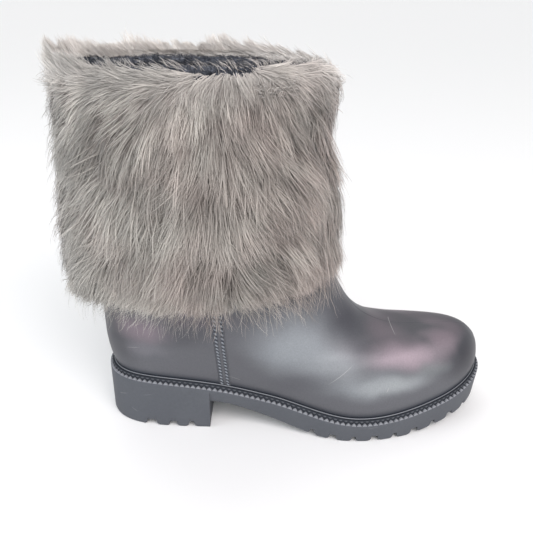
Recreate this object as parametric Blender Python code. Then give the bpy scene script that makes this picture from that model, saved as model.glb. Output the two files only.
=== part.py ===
# Fur-cuffed rain boot for the right foot: a moulded outsole with a block heel, a hollow
# moulded upper, an insole, a long-pile fur cuff and the rolled collar band of the lining.
# Frame: +X points to the toe, +Y to the inner (medial) side, +Z up, and the floor is Z = 0.

import bpy
import bmesh
import numpy as np

MM = 0.001

# Driving dimensions, metres
OUTSOLE_LENGTH = 0.2605
BALL_WIDTH = 0.0906          # across the outsole at the ball
SHAFT_HEIGHT = 0.2260        # top edge of the moulded shaft above the floor
WALL = 0.0022                # thickness of the moulded upper
GAP = 0.0003                 # between pieces that touch

WELT_WIDTH = 0.0037          # how far the outsole stands out past the upper's lower edge
WELT_SLOPE = 0.0010          # fall of the welt from the upper to its outer corner
WELT_DEPTH = 0.0043          # lower edge of the toothed rand, below the upper's lower edge
HEEL_BREAST = 0.0719         # front face of the heel block, from the table's zero
SOLE_TAPER = 0.0018          # how far the sole's side leans in towards the floor
HEEL_TAPER = 0.0006          # the same on the heel block

LUG_DEPTH = 0.0040
LUG_NOTCH_REACH = 0.0120     # how far an edge notch cuts in
LUG_PITCH = 0.0139           # along the edge of the forefoot
LUG_NOTCH_WIDTHS = (0.0030, 0.0052)      # narrow and wide notches in turn
FIRST_FOREFOOT_NOTCH = 0.1394
FOREFOOT_NOTCHES = 9
HEEL_NOTCHES = ((0.0323, 0.0066), (0.0471, 0.0048), (0.0593, 0.0036))   # place and width
TREAD_CHANNEL = 0.0036       # width of the channel inside the edge lugs
TREAD_BAR_PITCH = 0.0278     # between the grooves across the middle of the forefoot
TREAD_DEPTH = 0.0030
FOREFOOT_CHANNEL = (0.1370, 0.2330)      # ends of the channel, from the table's zero
HEEL_CHANNEL = (0.0180, 0.0640)
FOREFOOT_BARS = 3

INSOLE_THICKNESS = 0.0035
INSOLE_CLEARANCE = 0.0008
COLLAR_ROLL_HEIGHT = 0.0090  # the lining's edge where it turns over the collar
COLLAR_ROLL_WIDTH = 0.0075
CUFF_LOW_BACK = 0.0880       # lower edge of the fur at the heel side
CUFF_LOW_FRONT = 0.0990      # and over the instep
CUFF_HIGH = 0.2330
CUFF_SEAT = 0.0006           # between the shaft and the fur's backing

SIDE_STEPS = 28              # points along one side of a section, toe tip to heel back
SURFACE_RINGS = 20           # rings of the moulded shell, lower edge to collar
SOLE_STEPS = (24, 14)        # points along the sole's side, ahead of the breast and behind it
ROLL_POINTS = 10             # round the collar band's section
ROLL_ROUNDNESS = 0.7         # 1 is an ellipse, 0 a box
CUFF_BACKING_RINGS = 9

# The tables below are in millimetres, drawn for these three sizes. Grading scales them.
DRAWN_LENGTH = 260.5
DRAWN_BALL = 90.6
DRAWN_HEIGHT = 226.0
GRADE = np.array((OUTSOLE_LENGTH / DRAWN_LENGTH, BALL_WIDTH / DRAWN_BALL, SHAFT_HEIGHT / DRAWN_HEIGHT))

# The last as a stack of closed sections, from the upper's lower edge to the collar. Each goes
# from its heel end to its toe end; dip is how much it keeps of the lower edge's rise and fall;
# rear, waist, ball and fore are half widths at STATIONS; blunt heel and toe say how square
# the two ends are (2 is an ellipse); swing is its share of the foot's inward curve.
COLUMNS = ("heel_x", "heel_z", "toe_x", "toe_z", "dip", "rear", "waist", "ball", "fore",
           "blunt_heel", "blunt_toe", "swing")
SECTIONS = np.array((
    (4.4, 38.3, 257.4, 32.0, 1.00, 30.3, 29.8, 41.6, 44.4, 8.50, 3.90, 1.00),   # lower edge
    (2.4, 43.5, 258.2, 38.5, 1.00, 31.6, 31.9, 43.4, 44.8, 7.50, 3.80, 1.00),
    (1.0, 49.0, 256.4, 47.0, 0.95, 32.6, 33.9, 44.2, 43.6, 6.60, 3.70, 1.00),   # widest
    (0.1, 54.5, 250.8, 54.0, 0.88, 33.6, 35.6, 44.0, 41.6, 5.80, 3.70, 1.00),
    (-0.3, 59.5, 242.0, 58.6, 0.78, 34.9, 37.0, 43.2, 39.6, 5.20, 3.60, 0.95),  # toe box
    (-0.4, 65.0, 228.0, 60.8, 0.62, 36.4, 38.4, 42.4, 38.6, 4.50, 3.50, 0.90),
    (-0.5, 71.5, 208.5, 61.8, 0.45, 38.2, 39.8, 41.8, 39.4, 3.90, 3.40, 0.85),
    (-0.3, 80.0, 187.0, 65.6, 0.28, 40.4, 41.6, 41.8, 40.4, 3.40, 3.10, 0.75),  # vamp
    (0.3, 91.0, 168.5, 76.5, 0.12, 42.4, 43.4, 42.4, 40.8, 2.90, 2.75, 0.60),   # instep
    (0.8, 105.0, 155.5, 94.5, 0.04, 44.2, 45.0, 43.4, 41.4, 2.50, 2.40, 0.40),
    (0.8, 123.0, 147.0, 115.0, 0.00, 45.8, 46.2, 44.8, 42.8, 2.25, 2.20, 0.20),  # ankle
    (0.2, 148.0, 139.5, 143.0, 0.00, 47.0, 47.2, 46.2, 44.6, 2.10, 2.10, 0.10),
    (-1.5, 187.0, 133.0, 186.0, 0.00, 48.2, 48.2, 47.4, 46.4, 2.00, 2.00, 0.00),  # shaft
    (-3.2, 226.0, 131.0, 226.0, 0.00, 49.0, 49.0, 48.4, 47.8, 2.00, 2.00, 0.00),  # collar
))
STATIONS = (-0.78, -0.15, 0.27, 0.74)    # along a section: -1 is the heel end, 1 the toe end

# Height of the upper's lower edge, and the inward curve of the foot's centre line
EDGE_X = (4.4, 40.0, 75.0, 112.0, 168.0, 226.0, 257.4)
EDGE_Z = (38.3, 37.3, 33.6, 26.9, 17.6, 24.0, 32.0)
SWING_X = (0.0, 40.0, 112.0, 166.0, 226.0, 262.0)
SWING_Y = (0.0, -1.0, -4.6, -4.0, 8.0, 15.0)

# Underside: the arch in front of the heel, the flat tread under the ball and the toe spring
UNDER_X = (0.0, 71.9, 84.0, 100.0, 118.0, 131.0, 142.0, 156.0, 202.0, 226.0, 246.0, 262.0)
UNDER_Z = (20.6, 20.2, 18.5, 14.0, 8.2, 4.3, 1.6, 0.0, 0.0, 3.6, 7.4, 11.0)

# Thickness of the pile: share of the cuff's height, then thickness behind, beside and in front
CUFF_PILE = (
    (0.00, 7.0, 5.0, 1.6),
    (0.03, 15.0, 12.0, 4.5),
    (0.10, 20.5, 18.0, 8.5),
    (0.25, 24.0, 23.0, 14.0),
    (0.50, 22.5, 25.0, 17.0),
    (0.75, 19.0, 25.0, 20.0),
    (0.90, 16.0, 22.5, 20.0),
    (0.97, 12.5, 17.0, 16.0),
    (1.00, 6.0, 8.0, 8.0),
)


def smooth(places, xs, ys):
    """Smooth curve through the points (xs, ys), straight beyond both ends."""
    places, xs, ys = (np.asarray(a, float) for a in (places, xs, ys))
    step = np.diff(xs)
    slope = np.diff(ys) / step
    tangent = np.empty(len(xs))
    tangent[0], tangent[-1] = slope[0], slope[-1]
    tangent[1:-1] = (slope[:-1] * step[1:] + slope[1:] * step[:-1]) / (step[:-1] + step[1:])
    i = np.clip(np.searchsorted(xs, places) - 1, 0, len(xs) - 2)
    t = np.clip((places - xs[i]) / step[i], 0.0, 1.0)
    inside = ((2 * t**3 - 3 * t**2 + 1) * ys[i] + (t**3 - 2 * t**2 + t) * step[i] * tangent[i]
              + (3 * t**2 - 2 * t**3) * ys[i + 1] + (t**3 - t**2) * step[i] * tangent[i + 1])
    before = np.minimum(places - xs[0], 0.0) * tangent[0]
    after = np.maximum(places - xs[-1], 0.0) * tangent[-1]
    return inside + before + after


# ---- The last: sections and the surface through them ----

def section(place):
    """The table row at a place from 0 (lower edge) to the last row (collar)."""
    rows = np.arange(len(SECTIONS))
    return {name: float(smooth(place, rows, SECTIONS[:, i])) for i, name in enumerate(COLUMNS)}


def half_outline(row, grow=0.0, points=301):
    """One side of a section seen from above: x, half width and height, toe tip to heel back.

    grow (mm) moves the outline outwards by that much."""
    along = np.cos(np.linspace(0.0, np.pi, points))
    blunt = np.where(along > 0.0, row["blunt_toe"], row["blunt_heel"])
    widths = [row[name] for name in ("rear", "waist", "ball", "fore")]
    width = smooth(along, STATIONS, widths) * np.sqrt(np.clip(1.0 - np.abs(along) ** blunt, 0.0, 1.0))
    share = (along + 1.0) / 2.0
    x = row["heel_x"] + (row["toe_x"] - row["heel_x"]) * share
    lowest = section(0)
    edge_x = lowest["heel_x"] + (lowest["toe_x"] - lowest["heel_x"]) * share
    edge_chord = lowest["heel_z"] + (lowest["toe_z"] - lowest["heel_z"]) * share
    z = row["heel_z"] + (row["toe_z"] - row["heel_z"]) * share
    z = z + row["dip"] * (smooth(edge_x, EDGE_X, EDGE_Z) - edge_chord)
    if grow:
        dx, dw = np.gradient(x), np.gradient(width)
        length = np.hypot(dx, dw)
        x, width = x + grow * dw / length, width - grow * dx / length
        width[0] = width[-1] = 0.0
    return x, width, z


def spread(x, width, steps):
    """Places along a half outline, closer together where it turns."""
    dx, dw = np.diff(x), np.diff(width)
    length = np.hypot(dx, dw)
    turn = np.abs(np.diff(np.unwrap(np.arctan2(dw, dx))))
    turning = np.zeros(len(length))
    turning[1:] += turn / 2
    turning[:-1] += turn / 2
    weight = 0.62 * length / length.sum() + 0.38 * turning / turning.sum()
    travelled = np.concatenate(([0.0], np.cumsum(weight)))
    return np.interp(np.linspace(0.0, travelled[-1], steps + 1), travelled, np.arange(len(x)))


def pick(places, *columns):
    """Values of the columns at fractional indices."""
    return [np.interp(places, np.arange(len(column)), column) for column in columns]


def swing_line(x, share=1.0):
    return share * smooth(x, SWING_X, SWING_Y)


def closed_ring(x, width, z, share):
    """Both sides as one closed ring in metres: toe tip, outer side, heel back, inner side."""
    centre = swing_line(x, share)
    outer = np.stack((x, centre - width, z), 1)
    inner = np.stack((x, centre + width, z), 1)
    return np.concatenate((outer, inner[1:-1][::-1])) * GRADE


def ring(row, grow=0.0):
    x, width, z = half_outline(row, grow)
    x, width, z = pick(spread(x, width, SIDE_STEPS), x, width, z)
    return closed_ring(x, width, z, row["swing"])


def outward(grid):
    """Unit normals of a grid of rings."""
    around = np.roll(grid, -1, 1) - np.roll(grid, 1, 1)
    upward = np.gradient(grid, axis=0)
    normal = np.cross(upward, around)
    return normal / np.linalg.norm(normal, axis=2, keepdims=True)


def level(normals):
    """The same normals, made horizontal."""
    flat = normals * (1.0, 1.0, 0.0)
    return flat / np.linalg.norm(flat, axis=-1, keepdims=True)


def last_surface():
    """Outer and inner surface of the upper, as grids of rings."""
    places = np.linspace(0.0, len(SECTIONS) - 1, SURFACE_RINGS)
    outer = np.array([ring(section(place)) for place in places])
    normals = outward(outer)
    normals[0] = level(normals[0])       # the lower edge and the collar edge stay flat
    normals[-1] = level(normals[-1])
    return outer, outer - normals * WALL


# ---- Mesh helpers ----

def material(name, colour, roughness, metallic=0.0):
    made = bpy.data.materials.new(name)
    made.use_nodes = True
    shader = made.node_tree.nodes["Principled BSDF"]
    shader.inputs["Base Color"].default_value = (*colour, 1.0)
    shader.inputs["Roughness"].default_value = roughness
    shader.inputs["Metallic"].default_value = metallic
    return made


def solid(name, vertices, faces, frame, finish=None):
    """An object with the given faces, triangulated along the same diagonals everywhere."""
    mesh = bpy.data.meshes.new(name)
    mesh.from_pydata([tuple(v) for v in vertices], [], faces)
    shaped = bmesh.new()
    shaped.from_mesh(mesh)
    bmesh.ops.triangulate(shaped, faces=shaped.faces[:], quad_method="FIXED")
    shaped.to_mesh(mesh)
    shaped.free()
    made = bpy.data.objects.new(name, mesh)
    made.parent = frame
    bpy.context.scene.collection.objects.link(made)
    if finish:
        mesh.materials.append(finish)
        mesh.shade_smooth()
        mesh.set_sharp_from_angle(angle=np.radians(40.0))
    return made


def band_faces(lower, upper, around):
    """Faces between two rings, given by their first vertex."""
    faces = []
    for j in range(around):
        k = (j + 1) % around
        faces.append((lower + j, upper + j, upper + k, lower + k))
    return faces


def shell(name, rings, frame, finish):
    """A tube-like solid through closed rings; the last ring joins the first."""
    around = len(rings[0])
    vertices = np.concatenate(rings)
    faces = []
    for i in range(len(rings)):
        lower = i * around
        upper = (i + 1) % len(rings) * around
        faces += band_faces(lower, upper, around)
    return solid(name, vertices, faces, frame, finish)


def across(start, side_steps, down):
    """Strips from the outer to the inner side of a ring, which close it facing down or up."""
    around = 2 * side_steps
    faces = []
    for j in range(side_steps):
        outer = (start + j, start + j + 1)
        inner = (start + (around - j) % around, start + (around - j - 1) % around)
        face = (outer[0], outer[1], inner[1], inner[0])
        face = tuple(dict.fromkeys(face))
        faces.append(face if down else face[::-1])
    return faces


# ---- Upper, insole, collar band and cuff ----

def build_upper(frame, outer, inner):
    """Moulded shell, open at the collar and underneath."""
    rings = list(outer) + list(inner[::-1])
    finish = material("pearl_pvc", (0.145, 0.146, 0.156), 0.38, 0.35)
    return shell("upper", rings, frame, finish)


def build_insole(frame):
    """Flat pad on top of the outsole, inside the wall's lower edge."""
    inset = -(WALL + INSOLE_CLEARANCE) / MM
    bottom = ring(section(0), inset)
    top = bottom + (0.0, 0.0, INSOLE_THICKNESS)
    around = len(bottom)
    faces = across(0, SIDE_STEPS, True) + across(around, SIDE_STEPS, False)
    faces += band_faces(0, around, around)
    finish = material("insole_fleece", (0.05, 0.052, 0.06), 0.95)
    return solid("insole", np.concatenate((bottom, top)), faces, frame, finish)


def build_collar_band(frame, outer):
    """The lining's edge, turned over the collar as a soft roll."""
    rim = outer[-1]
    inwards = -level(outward(outer)[-1])
    rings = []
    for angle in np.arange(ROLL_POINTS) * 2.0 * np.pi / ROLL_POINTS:
        # a rounded box rather than a circle: flat sides, soft top and bottom
        side = np.sign(np.cos(angle)) * abs(np.cos(angle)) ** ROLL_ROUNDNESS
        rise = np.sign(np.sin(angle)) * abs(np.sin(angle)) ** ROLL_ROUNDNESS
        depth = COLLAR_ROLL_WIDTH * (0.5 - 0.5 * side)
        height = GAP + COLLAR_ROLL_HEIGHT * (0.5 + 0.5 * rise)
        rings.append(rim + inwards * depth + (0.0, 0.0, height))
    finish = material("collar_fleece", (0.042, 0.045, 0.055), 0.95)
    return shell("collar_band", rings, frame, finish)


def shaft_at(outer, share):
    """Ring of the shaft's outer surface at a share of the cuff's height, with its normals."""
    normals = outward(outer)
    points = np.empty_like(outer[0])
    aims = np.empty_like(points)
    for j in range(outer.shape[1]):
        meridian = outer[:, j]
        forward = np.clip(meridian[-1, 0] / (SECTIONS[-1, 2] * MM), 0.0, 1.0)
        low = CUFF_LOW_BACK + (CUFF_LOW_FRONT - CUFF_LOW_BACK) * forward
        height = low + (CUFF_HIGH - low) * share
        column = np.minimum(height, meridian[-1, 2])
        points[j] = [np.interp(column, meridian[:, 2], meridian[:, axis]) for axis in range(3)]
        points[j, 2] = height
        aims[j] = [np.interp(column, meridian[:, 2], normals[:, j, axis]) for axis in range(3)]
    return points, level(aims)


def pile_thickness(row, around):
    """Thickness of the pile round the shaft, from the three columns of a table row."""
    turn = np.cos(np.arange(around) / around * 2.0 * np.pi)
    behind = np.clip(-turn, 0.0, 1.0) ** 2
    ahead = np.clip(turn, 0.0, 1.0) ** 2
    beside = 1.0 - behind - ahead
    return (row[1] * behind + row[2] * beside + row[3] * ahead) * MM


def build_fur_cuff(frame, outer):
    """Sleeve of long pile round the shaft, rounded at its lower and upper edge."""
    around = outer.shape[1]
    rings = []
    for row in CUFF_PILE:
        points, aims = shaft_at(outer, row[0])
        rings.append(points + aims * (CUFF_SEAT + pile_thickness(row, around))[:, None])
    for share in np.linspace(0.985, 0.03, CUFF_BACKING_RINGS):
        points, aims = shaft_at(outer, share)
        rings.append(points + aims * CUFF_SEAT)
    finish = material("grey_faux_fur", (0.36, 0.33, 0.31), 0.9)
    return shell("fur_cuff", rings, frame, finish)


# ---- Outsole ----

def sole_outline(grow):
    """Places along the sole's half outline, one of them exactly at the heel breast."""
    x, width = half_outline(section(0), grow / MM)[:2]
    breast = np.interp(-HEEL_BREAST / MM, -x, np.arange(len(x)))
    split = int(np.floor(breast)) + 1
    ahead = np.append(np.arange(split), breast)
    behind = np.append(breast, np.arange(split, len(x)))
    places = []
    for stretch, steps in zip((ahead, behind), SOLE_STEPS):
        picked = spread(*pick(stretch, x, width), steps)
        places.append(np.interp(picked, np.arange(len(stretch)), stretch))
    return np.concatenate((places[0], places[1][1:]))


def sole_ring(places, grow, height):
    """Closed ring round the sole; height gives z (mm) from x and the upper's lower edge."""
    x, width, z = half_outline(section(0), grow / MM)
    x, width, z = pick(places, x, width, z)
    return closed_ring(x, width, height(x, z), 1.0)


def underside(x, _edge=None):
    return np.maximum(smooth(x, UNDER_X, UNDER_Z), 0.0)


def build_outsole_body(frame, finish):
    """Sole with its welt, arch, toe spring and heel block, before the tread is cut."""
    places = sole_outline(WELT_WIDTH)
    side = len(places) - 1
    breast = SOLE_STEPS[0]
    around = 2 * side
    seat = GAP / MM
    rings = [
        sole_ring(places, 0.0, lambda x, z: z - seat),
        sole_ring(places, WELT_WIDTH, lambda x, z: z - WELT_SLOPE / MM),
        sole_ring(places, WELT_WIDTH, lambda x, z: z - WELT_DEPTH / MM),
        sole_ring(places, WELT_WIDTH - SOLE_TAPER, underside),
        sole_ring(places, WELT_WIDTH - HEEL_TAPER, lambda x, z: 0.0 * x),
    ]
    top, corner, rand, under, floor = (i * around for i in range(5))
    faces = across(top, side, False)
    for lower, upper in ((corner, top), (rand, corner), (under, rand)):
        faces += band_faces(lower, upper, around)
    for j in range(around):
        k = (j + 1) % around
        steps = sorted((j, k if k else around))
        in_heel = steps[0] >= breast and steps[1] <= around - breast
        if in_heel:
            faces.append((floor + j, under + j, under + k, floor + k))
    for j, face in enumerate(across(under, side, True)):
        if j < breast:
            faces.append(face)
    for j, face in enumerate(across(floor, side, True)):
        if j >= breast:
            faces.append(face)
    front_face = (floor + breast, floor + around - breast, under + around - breast, under + breast)
    faces.append(front_face)
    used = sorted({v for face in faces for v in face})
    number = {v: i for i, v in enumerate(used)}
    vertices = np.concatenate(rings)[used]
    return solid("outsole", vertices, [tuple(number[v] for v in face) for face in faces], frame, finish)


def cutter_box(centre, along, reach, width, top, bottom):
    """Corners and faces of a box cutter that lies along a direction in plan."""
    along = np.array((along[0], along[1], 0.0)) / np.hypot(along[0], along[1])
    aside = np.array((-along[1], along[0], 0.0))
    corners = []
    for z in (bottom, top):
        for a, b in ((-1, -1), (1, -1), (1, 1), (-1, 1)):
            corner = np.array((centre[0], centre[1], 0.0)) + along * reach * a / 2 + aside * width * b / 2
            corners.append((corner[0], corner[1], z))
    faces = [(3, 2, 1, 0), (4, 5, 6, 7)]
    faces += [(i, (i + 1) % 4, (i + 1) % 4 + 4, i + 4) for i in range(4)]
    return corners, faces


def join_pieces(pieces):
    vertices, faces = [], []
    for corners, sides in pieces:
        start = len(vertices)
        vertices += corners
        faces += [tuple(start + i for i in side) for side in sides]
    return vertices, faces


def edge_track():
    """Dense plan outline of the outer side, toe tip to heel back, with its outward aim."""
    x, width, z = half_outline(section(0), WELT_WIDTH / MM)
    points = np.stack((x, width), 1) * GRADE[:2]
    aim = np.stack((np.gradient(points[:, 1]), -np.gradient(points[:, 0])), 1)
    aim /= np.linalg.norm(aim, axis=1, keepdims=True)
    return points, aim


def notch_spots():
    """Edge notches: index on the track and width, along the forefoot and the heel."""
    points, _ = edge_track()
    travelled = np.concatenate(([0.0], np.cumsum(np.linalg.norm(np.diff(points, axis=0), axis=1))))
    index = np.arange(len(points))
    first = np.interp(-FIRST_FOREFOOT_NOTCH, -points[:, 0], travelled)
    spots = []
    for i in range(FOREFOOT_NOTCHES):
        place = np.interp(first - i * LUG_PITCH, travelled, index)
        spots.append((place, LUG_NOTCH_WIDTHS[i % 2]))
    for x, width in HEEL_NOTCHES:
        spots.append((np.interp(-x, -points[:, 0], index), width))
    return spots


def notch_cutters():
    points, aim = edge_track()
    pieces = []
    for place, width in notch_spots():
        x, half, aim_x, aim_w = pick(place, points[:, 0], points[:, 1], aim[:, 0], aim[:, 1])
        in_heel = x < HEEL_BREAST
        floor = 0.0 if in_heel else float(underside(x / MM)) * MM
        centre = swing_line(x / MM) * MM
        for side in (-1.0, 1.0):
            spot = (x, centre + side * half)
            box = cutter_box(spot, (aim_x, side * aim_w), 2 * LUG_NOTCH_REACH, width,
                             floor + LUG_DEPTH, floor - 2 * LUG_DEPTH)
            pieces.append(box)
    return pieces


def channel_cutter(start_x, end_x, steps):
    """A pair of channels that follow the sole's edge, one on each side."""
    pieces = []
    x = np.linspace(start_x, end_x, steps)
    points, _ = edge_track()
    half = np.interp(-x, -points[:, 0], points[:, 1]) - LUG_NOTCH_REACH
    floor = np.where(x < HEEL_BREAST, 0.0, underside(x / MM) * MM)
    centre = swing_line(x / MM) * MM
    for side in (-1.0, 1.0):
        corners = []
        for i in range(steps):
            for across_width in (0.0, TREAD_CHANNEL):
                y = centre[i] + side * (half[i] - across_width)
                corners.append((x[i], y, floor[i] - 2 * TREAD_DEPTH))
                corners.append((x[i], y, floor[i] + TREAD_DEPTH))
        faces = []
        for i in range(steps - 1):
            a, b = 4 * i, 4 * (i + 1)
            for low, high in ((0, 1), (1, 3), (3, 2), (2, 0)):
                faces.append((a + low, a + high, b + high, b + low))
        last = 4 * (steps - 1)
        faces += [(0, 2, 3, 1), (last, last + 1, last + 3, last + 2)]
        if side < 0.0:
            faces = [face[::-1] for face in faces]
        pieces.append((corners, faces))
    return pieces


def bar_cutters():
    """Grooves across the middle, between the two channels."""
    pieces = []
    inset = LUG_NOTCH_REACH + TREAD_CHANNEL
    points, _ = edge_track()
    first = FIRST_FOREFOOT_NOTCH + LUG_PITCH / 2
    spots = [first + i * TREAD_BAR_PITCH for i in range(FOREFOOT_BARS)]
    for x in spots + [HEEL_NOTCHES[1][0]]:
        half = np.interp(-x, -points[:, 0], points[:, 1]) - inset
        floor = 0.0 if x < HEEL_BREAST else float(underside(x / MM)) * MM
        centre = (x, float(swing_line(x / MM)) * MM)
        pieces.append(cutter_box(centre, (0.0, 1.0), 2 * half + TREAD_CHANNEL, TREAD_CHANNEL,
                                 floor + TREAD_DEPTH, floor - 2 * TREAD_DEPTH))
    return pieces


def cut(body, name, pieces, frame):
    """Cut the joined pieces out of a body with a Boolean modifier."""
    vertices, faces = join_pieces(pieces)
    cutter = solid(name, vertices, faces, frame)
    cutter.hide_render = True
    cutter.display_type = "WIRE"
    modifier = body.modifiers.new(name, "BOOLEAN")
    modifier.operation = "DIFFERENCE"
    modifier.solver = "EXACT"
    modifier.use_self = True
    modifier.object = cutter


def build_outsole(frame):
    finish = material("matte_rubber", (0.135, 0.145, 0.165), 0.72)
    body = build_outsole_body(frame, finish)
    pieces = notch_cutters()
    pieces += channel_cutter(*FOREFOOT_CHANNEL, steps=13)
    pieces += channel_cutter(*HEEL_CHANNEL, steps=6)
    pieces += bar_cutters()
    cut(body, "tread_cutter", pieces, frame)
    return body


# ---- Assembly ----

def clear_scene():
    for item in list(bpy.data.objects):
        bpy.data.objects.remove(item, do_unlink=True)


def main():
    clear_scene()
    frame = bpy.data.objects.new("boot_frame", None)
    bpy.context.scene.collection.objects.link(frame)
    outer, inner = last_surface()
    pieces = [
        build_outsole(frame),
        build_upper(frame, outer, inner),
        build_insole(frame),
        build_fur_cuff(frame, outer),
        build_collar_band(frame, outer),
    ]
    # the origin is the middle of the whole boot's footprint, on the floor
    points = np.array([v.co for piece in pieces for v in piece.data.vertices])
    middle = (points.min(0) + points.max(0)) / 2.0
    frame.location = (-middle[0], -middle[1], 0.0)
    bpy.context.view_layer.update()


main()
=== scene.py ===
import math
from functools import partial

import bmesh
import bpy
import numpy as np
from mathutils import Matrix, Vector


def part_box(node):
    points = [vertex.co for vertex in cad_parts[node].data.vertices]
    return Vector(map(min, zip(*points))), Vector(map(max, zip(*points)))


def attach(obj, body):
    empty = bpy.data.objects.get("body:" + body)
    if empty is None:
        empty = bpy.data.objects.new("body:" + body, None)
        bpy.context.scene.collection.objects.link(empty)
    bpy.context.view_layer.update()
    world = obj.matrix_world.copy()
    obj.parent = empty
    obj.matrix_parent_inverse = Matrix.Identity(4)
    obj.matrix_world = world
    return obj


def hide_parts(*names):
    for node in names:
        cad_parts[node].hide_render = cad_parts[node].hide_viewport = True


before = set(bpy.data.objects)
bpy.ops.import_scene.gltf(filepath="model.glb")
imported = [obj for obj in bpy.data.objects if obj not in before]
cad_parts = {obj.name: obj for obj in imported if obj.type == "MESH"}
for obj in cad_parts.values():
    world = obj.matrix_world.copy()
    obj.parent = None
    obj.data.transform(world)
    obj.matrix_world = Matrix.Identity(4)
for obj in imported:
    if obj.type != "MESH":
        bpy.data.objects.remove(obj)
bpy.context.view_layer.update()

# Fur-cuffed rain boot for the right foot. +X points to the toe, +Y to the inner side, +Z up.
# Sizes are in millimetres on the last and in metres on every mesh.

mm = 0.001
scene = bpy.context.scene
print("frame loaded", len(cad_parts), "pieces")


# Camera, floor and lights

cameraSetup = dict(
    place=(-0.01066, -0.38645, 0.27459),
    turn=0.031,      # degrees, to the right of straight ahead
    down=23.84,
    roll=0.824,
    lens=43.38,
    sensor=36.0,
)


def newObject(name, data):
    made = bpy.data.objects.new(name, data)
    scene.collection.objects.link(made)
    return made


def makeCamera():
    turn, down, roll = (math.radians(cameraSetup[name]) for name in ("turn", "down", "roll"))
    ahead = Vector((math.sin(turn) * math.cos(down), math.cos(turn) * math.cos(down), -math.sin(down)))
    right = Vector((math.cos(turn), -math.sin(turn), 0.0))
    up = right.cross(ahead)
    across = math.cos(roll) * right + math.sin(roll) * up
    upright = -math.sin(roll) * right + math.cos(roll) * up
    data = bpy.data.cameras.new("camera")
    data.lens = cameraSetup["lens"]
    data.sensor_width = cameraSetup["sensor"]
    data.clip_start = 0.01
    turned = Matrix((across, upright, -ahead)).transposed().to_4x4()
    scene.camera = newObject("camera", data)
    scene.camera.matrix_world = Matrix.Translation(Vector(cameraSetup["place"])) @ turned


lightSetup = dict(
    worldColour="DDDEE0",
    worldStrength=0.50,
    floorColour="F6F6F6",
    floorSize=60.0,
    # broad even lights that reach the whole floor: name, strength, spread and turn in degrees
    broad=(
        ("front_light", 2.0, 60.0, (48.0, 14.0, 0.0)),
        ("back_light", 0.8, 60.0, (-35.0, -10.0, 0.0)),
    ),
    softboxes=(
        # name, place, aimed at, width, height, power, colour
        ("key_softbox", (0.55, -0.75, 0.95), (0.02, 0.0, 0.08), 0.75, 0.60, 5.0, "FFF4F4"),
        ("side_softbox", (-0.95, -0.45, 0.70), (0.0, 0.0, 0.12), 0.60, 0.80, 4.0, "F2F8FF"),
    ),
)


def linear(code):
    # sRGB hex to the linear values that the nodes take
    parts = [int(code[i:i + 2], 16) / 255.0 for i in (0, 2, 4)]
    return tuple(c / 12.92 if c <= 0.04045 else ((c + 0.055) / 1.055) ** 2.4 for c in parts) + (1.0,)


def setInputs(tree, node, values):
    # each input as a value or as a socket to link from
    for name, value in values.items():
        if isinstance(value, bpy.types.NodeSocket):
            tree.links.new(value, node.inputs[name])
        else:
            node.inputs[name].default_value = value


def addNode(tree, kind, values=None, out=0, **settings):
    # one node: its settings, then its inputs; gives one of its outputs
    node = tree.nodes.new(kind)
    for name, value in settings.items():
        setattr(node, name, value)
    setInputs(tree, node, values or {})
    return node.outputs[out] if len(node.outputs) else None


def newMaterial(name, roughness, specular=0.5, metallic=0.0):
    # the material, a function that adds a node to it, and one that sets its shader's inputs
    made = bpy.data.materials.new(name)
    made.use_nodes = True
    tree = made.node_tree
    dress = partial(setInputs, tree, tree.nodes["Principled BSDF"])
    dress({"Roughness": roughness, "Specular IOR Level": specular, "Metallic": metallic})
    return made, partial(addNode, tree), dress


def makeStudio():
    world = bpy.data.worlds.new("studio")
    world.use_nodes = True
    background = world.node_tree.nodes["Background"]
    background.inputs["Color"].default_value = linear(lightSetup["worldColour"])
    background.inputs["Strength"].default_value = lightSetup["worldStrength"]
    scene.world = world
    half = lightSetup["floorSize"] / 2
    mesh = bpy.data.meshes.new("floor")
    corners = [(-half, -half, 0), (half, -half, 0), (half, half, 0), (-half, half, 0)]
    mesh.from_pydata(corners, [], [(0, 1, 2, 3)])
    floor = newObject("floor", mesh)
    paint, _, dress = newMaterial("matt_paper_floor", 0.9, 0.1)
    dress({"Base Color": linear(lightSetup["floorColour"])})
    mesh.materials.append(paint)
    for name, strength, breadth, turn in lightSetup["broad"]:
        data = bpy.data.lights.new(name, "SUN")
        data.energy, data.angle = strength, math.radians(breadth)
        newObject(name, data).rotation_euler = [math.radians(angle) for angle in turn]
    for name, place, aim, width, height, power, colour in lightSetup["softboxes"]:
        data = bpy.data.lights.new(name, "AREA")
        data.shape = "RECTANGLE"
        data.size, data.size_y, data.energy = width, height, power
        data.color = linear(colour)[:3]
        lamp = newObject(name, data)
        lamp.location = place
        lamp.rotation_euler = (Vector(aim) - Vector(place)).to_track_quat("-Z", "Y").to_euler()


makeCamera()
makeStudio()
scene.view_settings.view_transform = "Standard"
print("camera and studio ready")


# The last: a stack of closed sections from the upper's lower edge to the collar

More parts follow.
